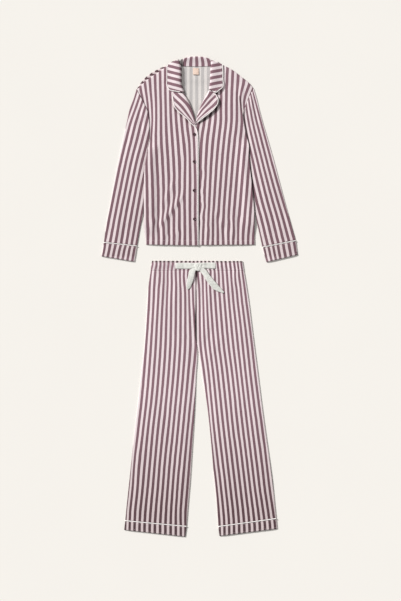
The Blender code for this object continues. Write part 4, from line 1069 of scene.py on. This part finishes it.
def build_collar():
    inset = 2 * PIPE_R + GAP
    for name, rows, side, guides in (("collar_fall_r", FALL_R, 0, STRIPES_FALL_R),
                                     ("collar_fall_l", FALL_L, 1, STRIPES_FALL_L)):
        grid, along, _ = rolled(
            shifted(rows, 0, 1.0), side, 2.6,
            lambda f: 1.0 - 0.25 * ease((f - 0.75) / 0.25) + 0 * f,
            lambda f: (2.4 if side else 1.7) + 2.2 * side * ease((f - 0.45) / 0.55),
            lambda f: 0.2 + (1.8 if side else 0.3) * ease((f - 0.65) / 0.35),
            WALL_DOUBLE, inset, ROLL if side else ROLL_OPEN)
        inner_side = np.arange(grid.shape[1])[None, :] + np.zeros(grid.shape[:2])
        # on the right fall the inside of the stand under the roll is painted dark as shadow
        ob = skin(name + "_cloth", grid, WALL_DOUBLE, CLOTHS,
                  sloped(guides, grid[..., 0], grid[..., 1]), grid[..., 0] + 200,
                  painted_shade=0.0 if side else 3.0 * ease((3.5 - inner_side) / 3.0))
        PIECES[name] = place(ob, "striped_cloth", name)
        PIECES[name + "_grid"] = grid
    for name, rows, side, guides in (("lapel_r", LAPEL_R, 0, STRIPES_LAPEL_R),
                                     ("lapel_l", LAPEL_L, 1, STRIPES_LAPEL_L)):
        grid, along, off = rolled(
            shifted(rows, -1.2, 0), side, 2.4,
            lambda f: 0.85 - 0.62 * ease((f - 0.1) / 0.9),
            lambda f: 1.7 + 4.0 * side * ease((f + 0.1) / 0.4) * ease((1.0 - f) / 0.3),
            lambda f: (0.3 + 1.6 * side) * ease((0.85 - f) / 0.4),
            WALL_DOUBLE, inset + 0.4, ROLL if side else ROLL_LAPEL)
        inner_side = np.arange(grid.shape[1])[None, :] + np.zeros(grid.shape[:2])
        # on lapel_r the inner side under the roll is painted dark as shadow
        ob = skin(name + "_cloth", grid, WALL_DOUBLE, CLOTHS,
                  guided(guides, grid[..., 0], grid[..., 1]), along,
                  painted_shade=0.0 if side else 2.4 * ease((2.5 - inner_side) / 2.5))
        PIECES[name] = place(ob, "striped_cloth", name)
        PIECES[name + "_grid"] = grid

    # the stand: up the inside of the neck and over the roll at the back
    n = 46
    u = np.linspace(0, 1, n)
    top, foot = np.array(STAND_TOP, float), np.array(STAND_FOOT, float)
    k = np.linspace(0, 1, len(top))
    t, f = smooth(u, k, top), smooth(u, k, foot)
    profile = ((0.0, 3.7), (0.2, 4.3), (0.42, 5.4), (0.64, 7.2), (0.82, 8.7), (0.93, 9.2), (1.0, 8.3),
               (1.01, 6.6), (0.985, 4.6), (0.94, 3.0))
    down = ease(np.minimum(u, 1 - u) / 0.08)
    rows = []
    for g, z in profile:
        p = f + g * (t - f)
        rows.append(np.stack([p[:, 0], p[:, 1], 3.55 + (z - 3.55) * (1 - 0.8 * (1 - ease((u - 0.01) / 0.1)) - 0.2 * (1 - down))], 1))
    fine = smooth(np.linspace(0, 1, 30), np.linspace(0, 1, len(rows)), np.array(rows).reshape(len(rows), -1))
    grid = fine.reshape(30, n, 3)
    # the left end of the stand is painted dark as the shadow of the roll beside it
    ob = skin("collar_stand_cloth", grid, WALL_DOUBLE, CLOTHS,
              guided(STRIPES_STAND, grid[..., 0], grid[..., 1]), grid[..., 1],
              painted_shade=3.4 * (1 - ease((np.broadcast_to(u, grid.shape[:2]) - 0.05) / 0.06)))
    PIECES["stand"] = place(ob, "striped_cloth", "collar_stand")
    top, foot = np.array(BACK_FALL_TOP, float), np.array(BACK_FALL_FOOT, float)
    k = np.linspace(0, 1, len(top))
    u = np.linspace(0, 1, 60)
    t, f = smooth(u, k, top), smooth(u, k, foot)
    g = np.linspace(0, 1, 14)[:, None, None]
    flat = t[None] + g * (f - t)[None]
    grid = np.concatenate([flat, np.full(flat.shape[:2] + (1,), WALL / 2)], 2)
    ob = skin("collar_fall_back_cloth", grid, WALL, CLOTHS, (grid[..., 0] + 10) / (5.9 * 3.75), grid[..., 1],
              reverse=True)
    PIECES["fall_back"] = place(ob, "striped_cloth", "collar_fall_back")


def edge_path(grid, out=PIPE_R + 0.72, drop=0.0):
    """Just outside the outer edge of a collar piece."""
    e, i = grid[:, -1], grid[:, -3]
    d = e - i
    d /= np.linalg.norm(d, axis=1, keepdims=True)
    p = e + d * out
    p[:, 2] += drop
    return p


def build_collar_piping():
    for side in ("r", "l"):
        fall, lapel = PIECES[f"collar_fall_{side}_grid"], PIECES[f"lapel_{side}_grid"]
        sign = -1 if side == "r" else 1
        # round the fall: down its outer edge and in along its lower end
        p = edge_path(fall)
        end = fall[-1, 8:][::-1].copy()
        end[:, 1] -= 1.7
        path = np.concatenate([p[:-2:4], p[-1:] + [[-0.4 * sign, -1.2, 0]], end[2::5]])
        ob = cord(f"collar_piping_{side}_cord", path, PIPE_R, PIPING)
        PIECES[f"collar_piping_{side}"] = place(ob, "piping", f"collar_piping_{side}")
        # round the lapel: out along its upper end, down its outer edge
        p = edge_path(lapel)
        start = lapel[0, 12:].copy()
        start[:, 1] += 0.0
        path = list(p[0:-1:4]) + [p[-1]]
        if side == "r":
            z = float(p[-1][2])
            path = [q for q in path if q[1] > 660] + [np.array((-36.0, 654.6, z)), np.array((-23.5, 643.2, z - 0.3))]
            path += [np.array((-12.6, 631.0, 6.3)), np.array((-7.4, 610.0, 6.1))]
            path += [np.array((x + PIPE_R + 0.42, yy, 5.6)) for x, yy in INNER_R[8:]]
        ob = cord(f"lapel_piping_{side}_cord", path, PIPE_R, PIPING)
        PIECES[f"lapel_piping_{side}"] = place(ob, "piping", f"lapel_piping_{side}")


# ---------------------------------------------------------------- trousers
def gathers(x):
    """The ripple of the gathered waist: uneven in spacing and in depth."""
    bend = x + 2.6 * np.sin(x / 31.0) + 1.7 * np.sin(x / 13.0 + 1.0)
    depth = 0.8 + 0.25 * np.sin(x / 23.0 + 0.6) + 0.15 * np.sin(x / 9.0)
    return depth * (0.5 + 0.5 * np.cos(2 * math.pi * (bend + 8.5) / GATHER))


def waist_top(x):
    """Height of the cloth's face along the waist seam, the same on both sides of it."""
    return 4.4 + 1.2 * gathers(x)


def build_trousers():
    for side, rows, shift, guides, table in (("r", LEG_R, 0.5, STRIPES_LEG_R, FOLDS_LEG_R),
                                             ("l", LEG_L, 0.05, STRIPES_LEG_L, FOLDS_LEG_L)):
        rows = [list(r) for r in rows]
        k = 2 if side == "r" else 0
        for j in range(6):
            rows[j][k] += shift * (1, 1, 1, 1, 0.8, 0.3)[j]
        rows[0][1] = rows[0][3] = 98.55
        x, y, along = patch(rows, 5.2)
        d0, d1 = spans(x, y)
        zero = np.zeros_like(x)
        PIECES["leg_back_" + side] = panel(
            f"trouser_back_{side}_cloth", f"trouser_back_{side}", x, y, zero, WALL,
            guided(guides, x, y), along, reverse=True)
        x, y, along = patch(rows, 3.8)
        d0, d1 = spans(x, y)
        outer, inner_ = (d0, d1) if side == "r" else (d1, d0)
        seam = 0.45 + 0.55 * ease((-150 - y) / 90)
        z = PUFF * ease(outer / 40) * (1 - seam + seam * ease(inner_ / 40))
        open_ = ease(outer / 24) * ease(inner_ / 20)
        z = z + open_ * (folds(table, x, y) + 0.4 * drift(x, y, 11 if side == "r" else 17, 90))
        z = WALL + GAP + np.maximum(z, 0.15)
        band = np.exp(-np.clip(98.5 - y, 0, None) / 24)
        z = z + (waist_top(x) - WALL - z) * band * ease(outer / 12)
        # painted shadow along the centre seam, deepest at the crotch
        PIECES["leg_front_" + side] = panel(
            f"trouser_front_{side}_cloth", f"trouser_front_{side}", x, y, z, WALL,
            guided(guides, swayed(SWAY_LEG_R if side == "r" else SWAY_LEG_L, x, y), y), along,
            painted_shade=(1.5 + 1.3 * ease((-30 - y) / 60)) * np.exp(-(inner_ / 3.0) ** 2) * ease((y + 175) / 25))
    for side, leg, hem, guides in (("r", LEG_R, HEM_R, STRIPES_LEG_R), ("l", LEG_L, HEM_L, STRIPES_LEG_L)):
        x, y, along = patch(hem, 3.4)
        d0, d1 = spans(x, y)
        near = np.minimum(d0, d1)
        z = 2 * WALL_DOUBLE + GAP + 1.2 * ease(near / 20) + 0.4 * ease(near / 16) * drift(x, y, 6, 40)
        z = np.maximum(z, 2 * WALL_DOUBLE + GAP)
        # a little painted shade over the whole hem band
        ob = flat_tube(f"hem_band_{side}_cloth", x, y, along, z, WALL_DOUBLE, 2 * WALL_DOUBLE + GAP,
                       CLOTHS, guided(guides, x, y), painted_shade=0.1)
        PIECES["hem_" + side] = place(ob, "striped_cloth", "hem_band_" + side)
        ring_piping("hem_piping_" + side, leg[-1], hem[0])
    x, y, along = patch(WAISTBAND, 4.0)
    PIECES["waist_back"] = panel("waistband_back_cloth", "waistband_back", x, y, np.zeros_like(x),
                                 WALL_DOUBLE, guided(STRIPES_WAIST, x, y), along, reverse=True)
    x, y, along = patch(WAISTBAND, 2.0)
    d0, d1 = spans(x, y)
    near = np.minimum(d0, d1)
    total = along[-1, 0]
    swell = np.sin(math.pi * along / total)                # the elastic fills the middle of the band
    foot = ease(along / total * 1.6 - 0.6)
    z = WALL_DOUBLE + GAP + 1.1 + gathers(x) * (0.8 + 0.8 * swell) + 0.7 * swell
    z = z + (waist_top(x) - WALL_DOUBLE - z) * foot
    z = WALL_DOUBLE + GAP + (z - WALL_DOUBLE - GAP) * ease(near / 10)
    # the top edge is drawn into scallops by the elastic
    y = y + 0.9 * (gathers(x) - 0.5) * ease((14 - along) / 12)
    # the top rows are painted dark as shade where the edge rolls over
    ob = skin("waistband_front_cloth", raised(x, y, z + WALL_DOUBLE / 2), WALL_DOUBLE, CLOTHS,
              guided(STRIPES_WAIST, x, y), along, painted_shade=1.55 * (1 - ease((along - 1.5) / 8)))
    PIECES["waist_front"] = place(ob, "striped_cloth", "waistband_front")


# ---------------------------------------------------------------- ribbon
TAIL_R = (  # x and y of the two edges, and how high the underside is above the cloth
    (-13, 112, -5, 106, 0.3), (-36, 100.3, -14.8, 96.6, 0.8), (-42.5, 77, -20.1, 74, 2.3), (-47.5, 56, -27, 51, 1.3),
    (-49, 38, -36, 33, 0.9), (-47.5, 29, -43, 26, 0.5))
TAIL_L = (
    (-5, 106, 5, 112, 0.3), (8.4, 87.6, 23.8, 101.8, 0.8), (21.2, 68.1, 35.4, 84.9, 2.2), (37.5, 45, 61, 54, 2.4),
    (56, 26, 82, 30, 1.3), (89.8, 12.6, 92.4, 17.8, 0.5))


def ribbon_ground(y):
    """Highest cloth under the ribbon."""
    y = np.asarray(y, float)
    return 6.7 - 0.9 * ease((100 - y) / 30)


def build_ribbon():
    for name, rows, flip in (("ribbon_r", RIBBON_R, 1), ("ribbon_l", RIBBON_L, -1)):
        rows = [list(r) for r in rows]
        end = -1 if flip > 0 else 0
        rows[end][0] = rows[end][2] = KNOT_CENTRE[0] - 2.0 * flip
        rows = np.array(rows, float)
        k = np.concatenate([[0], np.cumsum(np.hypot(np.diff(rows[:, 0]), np.diff(rows[:, 1])))])
        t = np.linspace(0, k[-1], 44)
        e = smooth(t, k, rows)
        u = np.linspace(0, 1, 11)
        x = e[:, :1] + (e[:, 2:3] - e[:, :1]) * u
        y = e[:, 1:2] + (e[:, 3:] - e[:, 1:2]) * u
        along = np.broadcast_to(t[:, None], x.shape)
        to_knot = k[-1] - along if flip > 0 else along
        pinch = ease((40 - to_knot) / 24)
        mid = (e[:, 1:2] + e[:, 3:]) / 2
        y = mid + (y - mid) * (1 - 0.05 * pinch)
        z = (6.7 + 0.55 * np.sin(math.pi * u)[None, :] + 0.35 * np.sin(along / 7.0)
             + pinch * (0.9 + 0.8 * np.sin(3 * math.pi * u + 0.5)[None, :]) + 0.4 * (gathers(x) - 0.4))
        ob = skin(name + "_tape", raised(x, y, z), 0.9, (RIBBON,), (y - 100) / 1000, along)
        PIECES[name] = place(ob, "ribbon", name)
    for name, rows, seed in (("ribbon_tail_r", TAIL_R, 0.4), ("ribbon_tail_l", TAIL_L, 2.1)):
        rows = np.array(rows, float)
        mid = (rows[:, :2] + rows[:, 2:4]) / 2
        k = np.concatenate([[0], np.cumsum(np.hypot(*np.diff(mid, axis=0).T))])
        t = np.linspace(0, k[-1], 34)
        e = smooth(t, k, rows)
        u = np.linspace(0, 1, 9)
        x = e[:, :1] + (e[:, 2:3] - e[:, :1]) * u
        y = e[:, 1:2] + (e[:, 3:4] - e[:, 1:2]) * u
        along = np.broadcast_to(t[:, None], x.shape)
        twist = 0.9 * np.sin(t / k[-1] * 5.0 + seed)[:, None] * (u - 0.5)[None, :] * 2
        z = (ribbon_ground(y) + 0.9 + e[:, 4:5] + twist * ease(along / 12) + 0.45 * np.sin(math.pi * u)[None, :])
        ob = skin(name + "_tape", raised(x, y, z), 0.9, (RIBBON,), np.broadcast_to(u * 0.018, x.shape), along)
        PIECES[name] = place(ob, "ribbon", name)
    # the knot: a turn of tape over the crossing of the two ends, drawn tight into folds
    (cx, cy), (w, h) = KNOT_CENTRE, KNOT_SIZE
    nr, ns = 26, 64
    f = np.linspace(0, 1, nr)[:, None]
    q = np.linspace(0, 2 * math.pi, ns, endpoint=False)[None, :]
    c, v = np.cos(q), np.sin(q)
    ex = np.sign(c) * abs(c) ** 0.72
    ey = np.sign(v) * abs(v) ** 0.72
    rr = 1 - (1 - f) ** 1.0
    across_, up_ = rr * ex, rr * ey
    px = cx + across_ * w / 2 * (1.08 + 0.26 * up_)          # wide above, drawn in below
    py = cy + up_ * h / 2
    dome = np.sqrt(np.clip(1 - rr ** 3.2, 0, 1))
    # two folds cross it: one from the upper left to the lower right over the other
    crease = (1.0 * np.exp(-((across_ + 0.62 - 0.5 * (1 - up_)) / 0.13) ** 2) * ease((up_ + 0.9) / 0.5)
              + 0.8 * np.exp(-((across_ + 0.05 - 0.42 * (1 - up_)) / 0.12) ** 2) * ease((0.95 - abs(up_)) / 0.3)
              + 0.7 * np.exp(-((across_ - 0.2 - 0.42 * up_) / 0.12) ** 2) * ease((up_ + 0.1) / 0.3)
              + 0.6 * np.exp(-((across_ + 0.78 - 0.22 * up_) / 0.10) ** 2))
    z = 8.3 + 2.7 * dome - 0.95 * crease * dome * ease((1 - rr) / 0.25 + 0.3)
    top = np.stack([px, py, np.broadcast_to(z, px.shape)], 2)
    low = top[-1].copy()
    low[:, 2] = 7.4
    points = [top.reshape(-1, 3), low, [[cx, cy, 7.4]]]
    n = nr * ns
    k1 = np.arange(ns)
    k2 = np.roll(k1, -1)
    faces = [np.stack([j * ns + k1, (j + 1) * ns + k1, (j + 1) * ns + k2, j * ns + k2], 1) for j in range(1, nr - 1)]
    last = (nr - 1) * ns
    faces.append(np.stack([last + k1, n + k1, n + k2, last + k2], 1))
    tris = np.concatenate([np.stack([np.zeros(ns, int), ns + k1, ns + k2], 1),
                           np.stack([np.full(ns, n + ns), n + k2, n + k1], 1)])
    points = np.concatenate(points)
    # the first ring is one point: weld it
    keep = np.concatenate([[0], np.arange(ns, len(points))])
    index = np.zeros(len(points), int)
    index[keep] = np.arange(len(keep))
    points, faces, tris = points[keep], index[np.concatenate(faces)], index[tris]
    cl = np.stack([(points[:, 1] - cy) / 1000, (points[:, 0] - cx) / 1000, np.zeros(len(points))], 1)
    ob = make("ribbon_knot_tape", points, faces, (RIBBON,), None, cl, tris)
    PIECES["knot"] = place(ob, "ribbon", "ribbon_knot")


# ---------------------------------------------------------------- small things
def height_on(ob, x, y):
    """Where a point straight above a piece lands on it."""
    ok, at, normal, _ = ob.ray_cast((x / 1000, y / 1000, 0.1), (0, 0, -1))
    return (at[2] * 1000, normal) if ok else (None, None)


def lathe(name, profile, sides, material):
    """A turned solid about Z, closed at its axis."""
    q = 2 * math.pi * np.arange(sides) / sides
    k1 = np.arange(sides)
    k2 = np.roll(k1, -1)
    points = [[[0, 0, profile[0][1]]]]
    for r, z in profile[1:-1]:
        points.append(np.stack([r * np.cos(q), r * np.sin(q), np.full(sides, z)], 1))
    points.append([[0, 0, profile[-1][1]]])
    rings = len(profile) - 2
    faces = [np.stack([1 + j * sides + k1, 1 + j * sides + k2, 1 + (j + 1) * sides + k2, 1 + (j + 1) * sides + k1], 1)
             for j in range(rings - 1)]
    end = 1 + rings * sides
    tris = np.concatenate([np.stack([np.zeros(sides, int), 1 + k2, 1 + k1], 1),
                           np.stack([np.full(sides, end), 1 + (rings - 1) * sides + k1,
                                     1 + (rings - 1) * sides + k2], 1)])
    return make(name, np.concatenate(points), np.concatenate(faces), (material,), None, None, tris)


def build_buttons():
    r = BUTTON_D / 2
    for n, (bx, by) in enumerate(BUTTONS):
        z, _ = height_on(PIECES["front_r"], bx, by)
        z += 0.55
        ob = lathe(f"button_{n + 1}_disc", (
            (0, 0), (0.7 * r, 0.0), (0.9 * r, 0.2), (0.985 * r, 0.75), (r, 1.25), (0.965 * r, 1.8),
            (0.88 * r, 2.25), (0.78 * r, 2.35), (0.7 * r, 2.1), (0.62 * r, 1.65), (0.5 * r, 1.5), (0, 1.45)),
            48, BUTTON_MAT)
        cutters = []
        for a in range(4):
            q = math.pi / 4 + a * math.pi / 2
            bpy.ops.mesh.primitive_cylinder_add(
                vertices=16, radius=0.00075, depth=0.01,
                location=(0.00155 * math.cos(q), 0.00155 * math.sin(q), 0.001))
            cutters.append(bpy.context.object)
        for c in cutters:
            m = ob.modifiers.new("hole", "BOOLEAN")
            m.operation, m.object, m.solver = "DIFFERENCE", c, "EXACT"
        bpy.context.view_layer.update()
        mesh = bpy.data.meshes.new_from_object(ob.evaluated_get(bpy.context.evaluated_depsgraph_get()))
        ob.modifiers.clear()
        ob.data = mesh
        mesh.set_sharp_from_angle(angle=math.radians(40))
        for c in cutters:
            bpy.data.objects.remove(c)
        turn = 0.35 * n + 0.2
        tilt = 0.04 * (-1) ** n
        ob.data.transform(Matrix.Translation((bx / 1000, by / 1000, z / 1000)) @ Matrix.Rotation(turn, 4, "Z")
                          @ Matrix.Rotation(tilt, 4, "X"))
        place(ob, "button", f"button_{n + 1}")
        for j, s in enumerate((-1, 1)):
            c, v = math.cos(turn), math.sin(turn)
            pts = []
            for a, zz in ((-1.9, 1.2), (-1.5, 1.75), (0, 1.95), (1.5, 1.75), (1.9, 1.2)):
                lx, ly = (a / 1.45, s * 1.1)
                pts.append((bx + lx * c - ly * v, by + lx * v + ly * c, z + zz))
            t = cord(f"button_{n + 1}_thread_{j + 1}", pts, 0.33, THREAD_PLUM, sides=6, step=0.5)
            place(t, "button")


def build_label():
    (cx, cy), (w, h) = LABEL_CENTRE, LABEL_SIZE
    u, v = np.linspace(0, 1, 17), np.linspace(0, 1, 19)
    x = cx + (u[None, :] - 0.5) * w * (1 - 0.02 * np.sin(math.pi * v))[:, None]
    y = cy + (0.5 - v[:, None]) * h + 0.25 * np.sin(2 * math.pi * u)[None, :]
    z = (COLLAR_LIFT + WALL + GAP + 0.9 + 1.3 * ease(v / 0.9)[:, None] * np.ones_like(u)[None, :]
         + 0.5 * np.sin(math.pi * u)[None, :] * v[:, None] + 0 * x)
    ob = skin("neck_label_tape", raised(x, y, z), 0.6, (TAPE,), (x - cx) / 1000, (cy - y))
    PIECES["label"] = place(ob, "label_tape", "neck_label")


def stitched(name, on, paths, pitch=3.6, length=2.5, width=0.5, material=None, slot="striped_cloth"):
    """Rows of stitches pressed into a piece: one joined mesh of small rounded bars."""
    points, tris = [], []
    for path in paths:
        p, t = along_path([(a, b, 0) for a, b in path], pitch)
        d = np.gradient(p, axis=0)
        d /= np.linalg.norm(d, axis=1, keepdims=True)
        for (x, y, _), (dx, dy, _) in zip(p, d):
            z, _n = height_on(on, x, y)
            if z is None:
                continue
            za, _n = height_on(on, x - dx * length / 2, y - dy * length / 2)
            zb, _n = height_on(on, x + dx * length / 2, y + dy * length / 2)
            za, zb = (za if za is not None else z), (zb if zb is not None else z)
            o = len(points)
            s = (-dy * width / 2, dx * width / 2)
            points.append((x - dx * length / 2, y - dy * length / 2, za - 0.02))
            points.append((x + dx * length / 2, y + dy * length / 2, zb - 0.02))
            for a, side, up in ((-0.25, 1, 0.06), (-0.25, 0, 0.26), (-0.25, -1, 0.06), (-0.25, 0, -0.15),
                                (0.25, 1, 0.06), (0.25, 0, 0.26), (0.25, -1, 0.06), (0.25, 0, -0.15)):
                zz = z + (za - z if a < 0 else zb - z) * abs(a) * 2
                points.append((x + dx * length * a + s[0] * side, y + dy * length * a + s[1] * side, zz + up))
            for i in range(4):
                k = (i + 1) % 4
                tris += [(o, o + 2 + i, o + 2 + k), (o + 1, o + 6 + k, o + 6 + i),
                         (o + 2 + i, o + 6 + i, o + 6 + k), (o + 2 + i, o + 6 + k, o + 2 + k)]
    ob = make(name, points, np.zeros((0, 4), int), (material or THREAD_LIGHT,), None, None, tris)
    return place(ob, slot)


def offset_row(a, b, n=12):
    return [(a[0] + (b[0] - a[0]) * i / n, a[1] + (b[1] - a[1]) * i / n) for i in range(n + 1)]


def build_stitches():
    stitched("hem_stitches_r", PIECES["front_r"], [[(-203, 211.3), (-150, 211.3), (-90, 211.3), (-11, 211.0)]])
    stitched("hem_stitches_l", PIECES["front_l"], [[(-2, 211.0), (60, 211.3), (140, 211.3), (203, 211.3)]])
    stitched("front_edge_stitches", PIECES["front_r"],
             [[(-11.2, 612), (-10.6, 540), (-10.6, 400), (-10.6, 300), (-10.6, 216)]])
    for side, rows in (("r", CUFF_R), ("l", CUFF_L)):
        (ax, ay, bx, by), (cx, cy, dx, dy) = rows[0], rows[-1]
        lines = []
        for f in (0.07, 0.9):
            a = (ax + (cx - ax) * f, ay + (cy - ay) * f)
            b = (bx + (dx - bx) * f, by + (dy - by) * f)
            m = 0.03
            lines.append(offset_row((a[0] + (b[0] - a[0]) * m, a[1] + (b[1] - a[1]) * m),
                                    (b[0] - (b[0] - a[0]) * m, b[1] - (b[1] - a[1]) * m)))
        stitched(f"cuff_stitches_{side}", PIECES["cuff_" + side], lines)
    for side, rows in (("r", HEM_R), ("l", HEM_L)):
        (ax, ay, bx, by), (cx, cy, dx, dy) = rows[0], rows[-1]
        lines = []
        for f in (0.09, 0.86):
            a = (ax + (cx - ax) * f, ay + (cy - ay) * f)
            b = (bx + (dx - bx) * f, by + (dy - by) * f)
            m = 0.02
            lines.append(offset_row((a[0] + (b[0] - a[0]) * m, a[1] + (b[1] - a[1]) * m),
                                    (b[0] - (b[0] - a[0]) * m, b[1] - (b[1] - a[1]) * m)))
        stitched(f"leg_hem_stitches_{side}", PIECES["hem_" + side], lines)
    stitched("waist_stitches", PIECES["waist_front"],
             [[(-175, 129.8), (-100, 129.6), (0, 129.4), (100, 129.3), (157, 129.2)],
              [(-180, 101.6), (-100, 101.5), (0, 101.4), (100, 101.4), (163, 101.4)]], pitch=3.2, length=2.2)
    for side in ("r", "l"):
        for kind, node in (("fall", f"collar_fall_{side}"), ("lapel", f"lapel_{side}")):
            g = PIECES[node + "_grid"]
            e = g[3:-3, -1] + (g[3:-3, -4] - g[3:-3, -1]) * 0.75
            stitched(f"{kind}_stitches_{side}", PIECES[node], [[(p[0], p[1]) for p in e[::3]]])
    (cx, cy), (w, h) = LABEL_CENTRE, LABEL_SIZE
    stitched("label_stitches", PIECES["label"], [[(cx - w / 2 + 1, cy + h / 2 - 1.4), (cx, cy + h / 2 - 1.4),
                                                  (cx + w / 2 - 1, cy + h / 2 - 1.4)]], pitch=2.6, length=1.7,
             width=0.4, slot="label_tape")


# ---------------------------------------------------------------- what each sheet was cut to
def declare_sheets():
    def area(ob, share=0.5):
        return share * sum(p.area for p in ob.data.polygons)

    def sheet(key, width, length, full=1.0):
        ob = PIECES[key]
        a = min(area(ob), full * width * length / 1e6)
        a = max(a, 0.31 * width * length / 1e6)

    sheet("back", 445, 700)
    sheet("front_r", 240, 700)
    sheet("front_l", 262, 700)
    for side in ("r", "l"):
        sheet("sleeve_" + side, 400, 640)
        sheet("cuff_" + side, 256, 56)
        sheet("leg_back_" + side, 250, 965)
        sheet("leg_front_" + side, 250, 965)
        sheet("hem_" + side, 466, 38)
        sheet("collar_fall_" + side, 64, 112)
        sheet("lapel_" + side, 66, 122)
        sheet("ribbon_" + side, 23, 85 if side == "r" else 66)
        sheet("ribbon_tail_" + side, 22, 84 if side == "r" else 126)
    sheet("stand", 114, 46)
    sheet("fall_back", 200, 54)
    sheet("waist_back", 352, 37)
    sheet("waist_front", 400, 37)
    sheet("label", 22, 25)


# ---------------------------------------------------------------- floor, light and camera
def build_studio():
    bpy.ops.mesh.primitive_plane_add(size=60, location=(0, 0, -0.0004))
    floor = bpy.context.object
    floor.name = "floor"
    t = Tree("floor_paper", 0.9, Specular_IOR_Level=0.15)
    n = t.noise(t.place(), 3.0, 2.0)
    floor.data.materials.append(t.finish(t.mix(n, srgb(239, 236, 231), srgb(241, 238, 233))))
    scene = bpy.context.scene
    world = bpy.data.worlds.new("studio")
    world.use_nodes = True
    world.node_tree.nodes["Background"].inputs[0].default_value = (1.0, 0.995, 0.985, 1)
    world.node_tree.nodes["Background"].inputs[1].default_value = 0.40
    scene.world = world
    sun = bpy.data.lights.new("window", "SUN")
    sun.energy, sun.angle, sun.color = 4.15, math.radians(10), (1.0, 0.99, 0.975)
    ob = bpy.data.objects.new("window", sun)
    ob.rotation_euler = Vector((0.70, -0.51, -0.50)).to_track_quat("-Z", "Y").to_euler()
    scene.collection.objects.link(ob)
    cam = bpy.data.cameras.new("camera")
    cam.lens, cam.sensor_width, cam.clip_end = 85, 36, 60
    ob = bpy.data.objects.new("camera", cam)
    ob.location = (0.0038, -0.0140, 5.3274)
    scene.collection.objects.link(ob)
    scene.camera = ob
    scene.view_settings.view_transform = "Standard"
    scene.view_settings.look = "None"


build_shirt_body()
build_sleeves()
build_collar()
build_collar_piping()
build_trousers()
build_ribbon()
build_buttons()
build_label()
build_stitches()
build_studio()
declare_sheets()
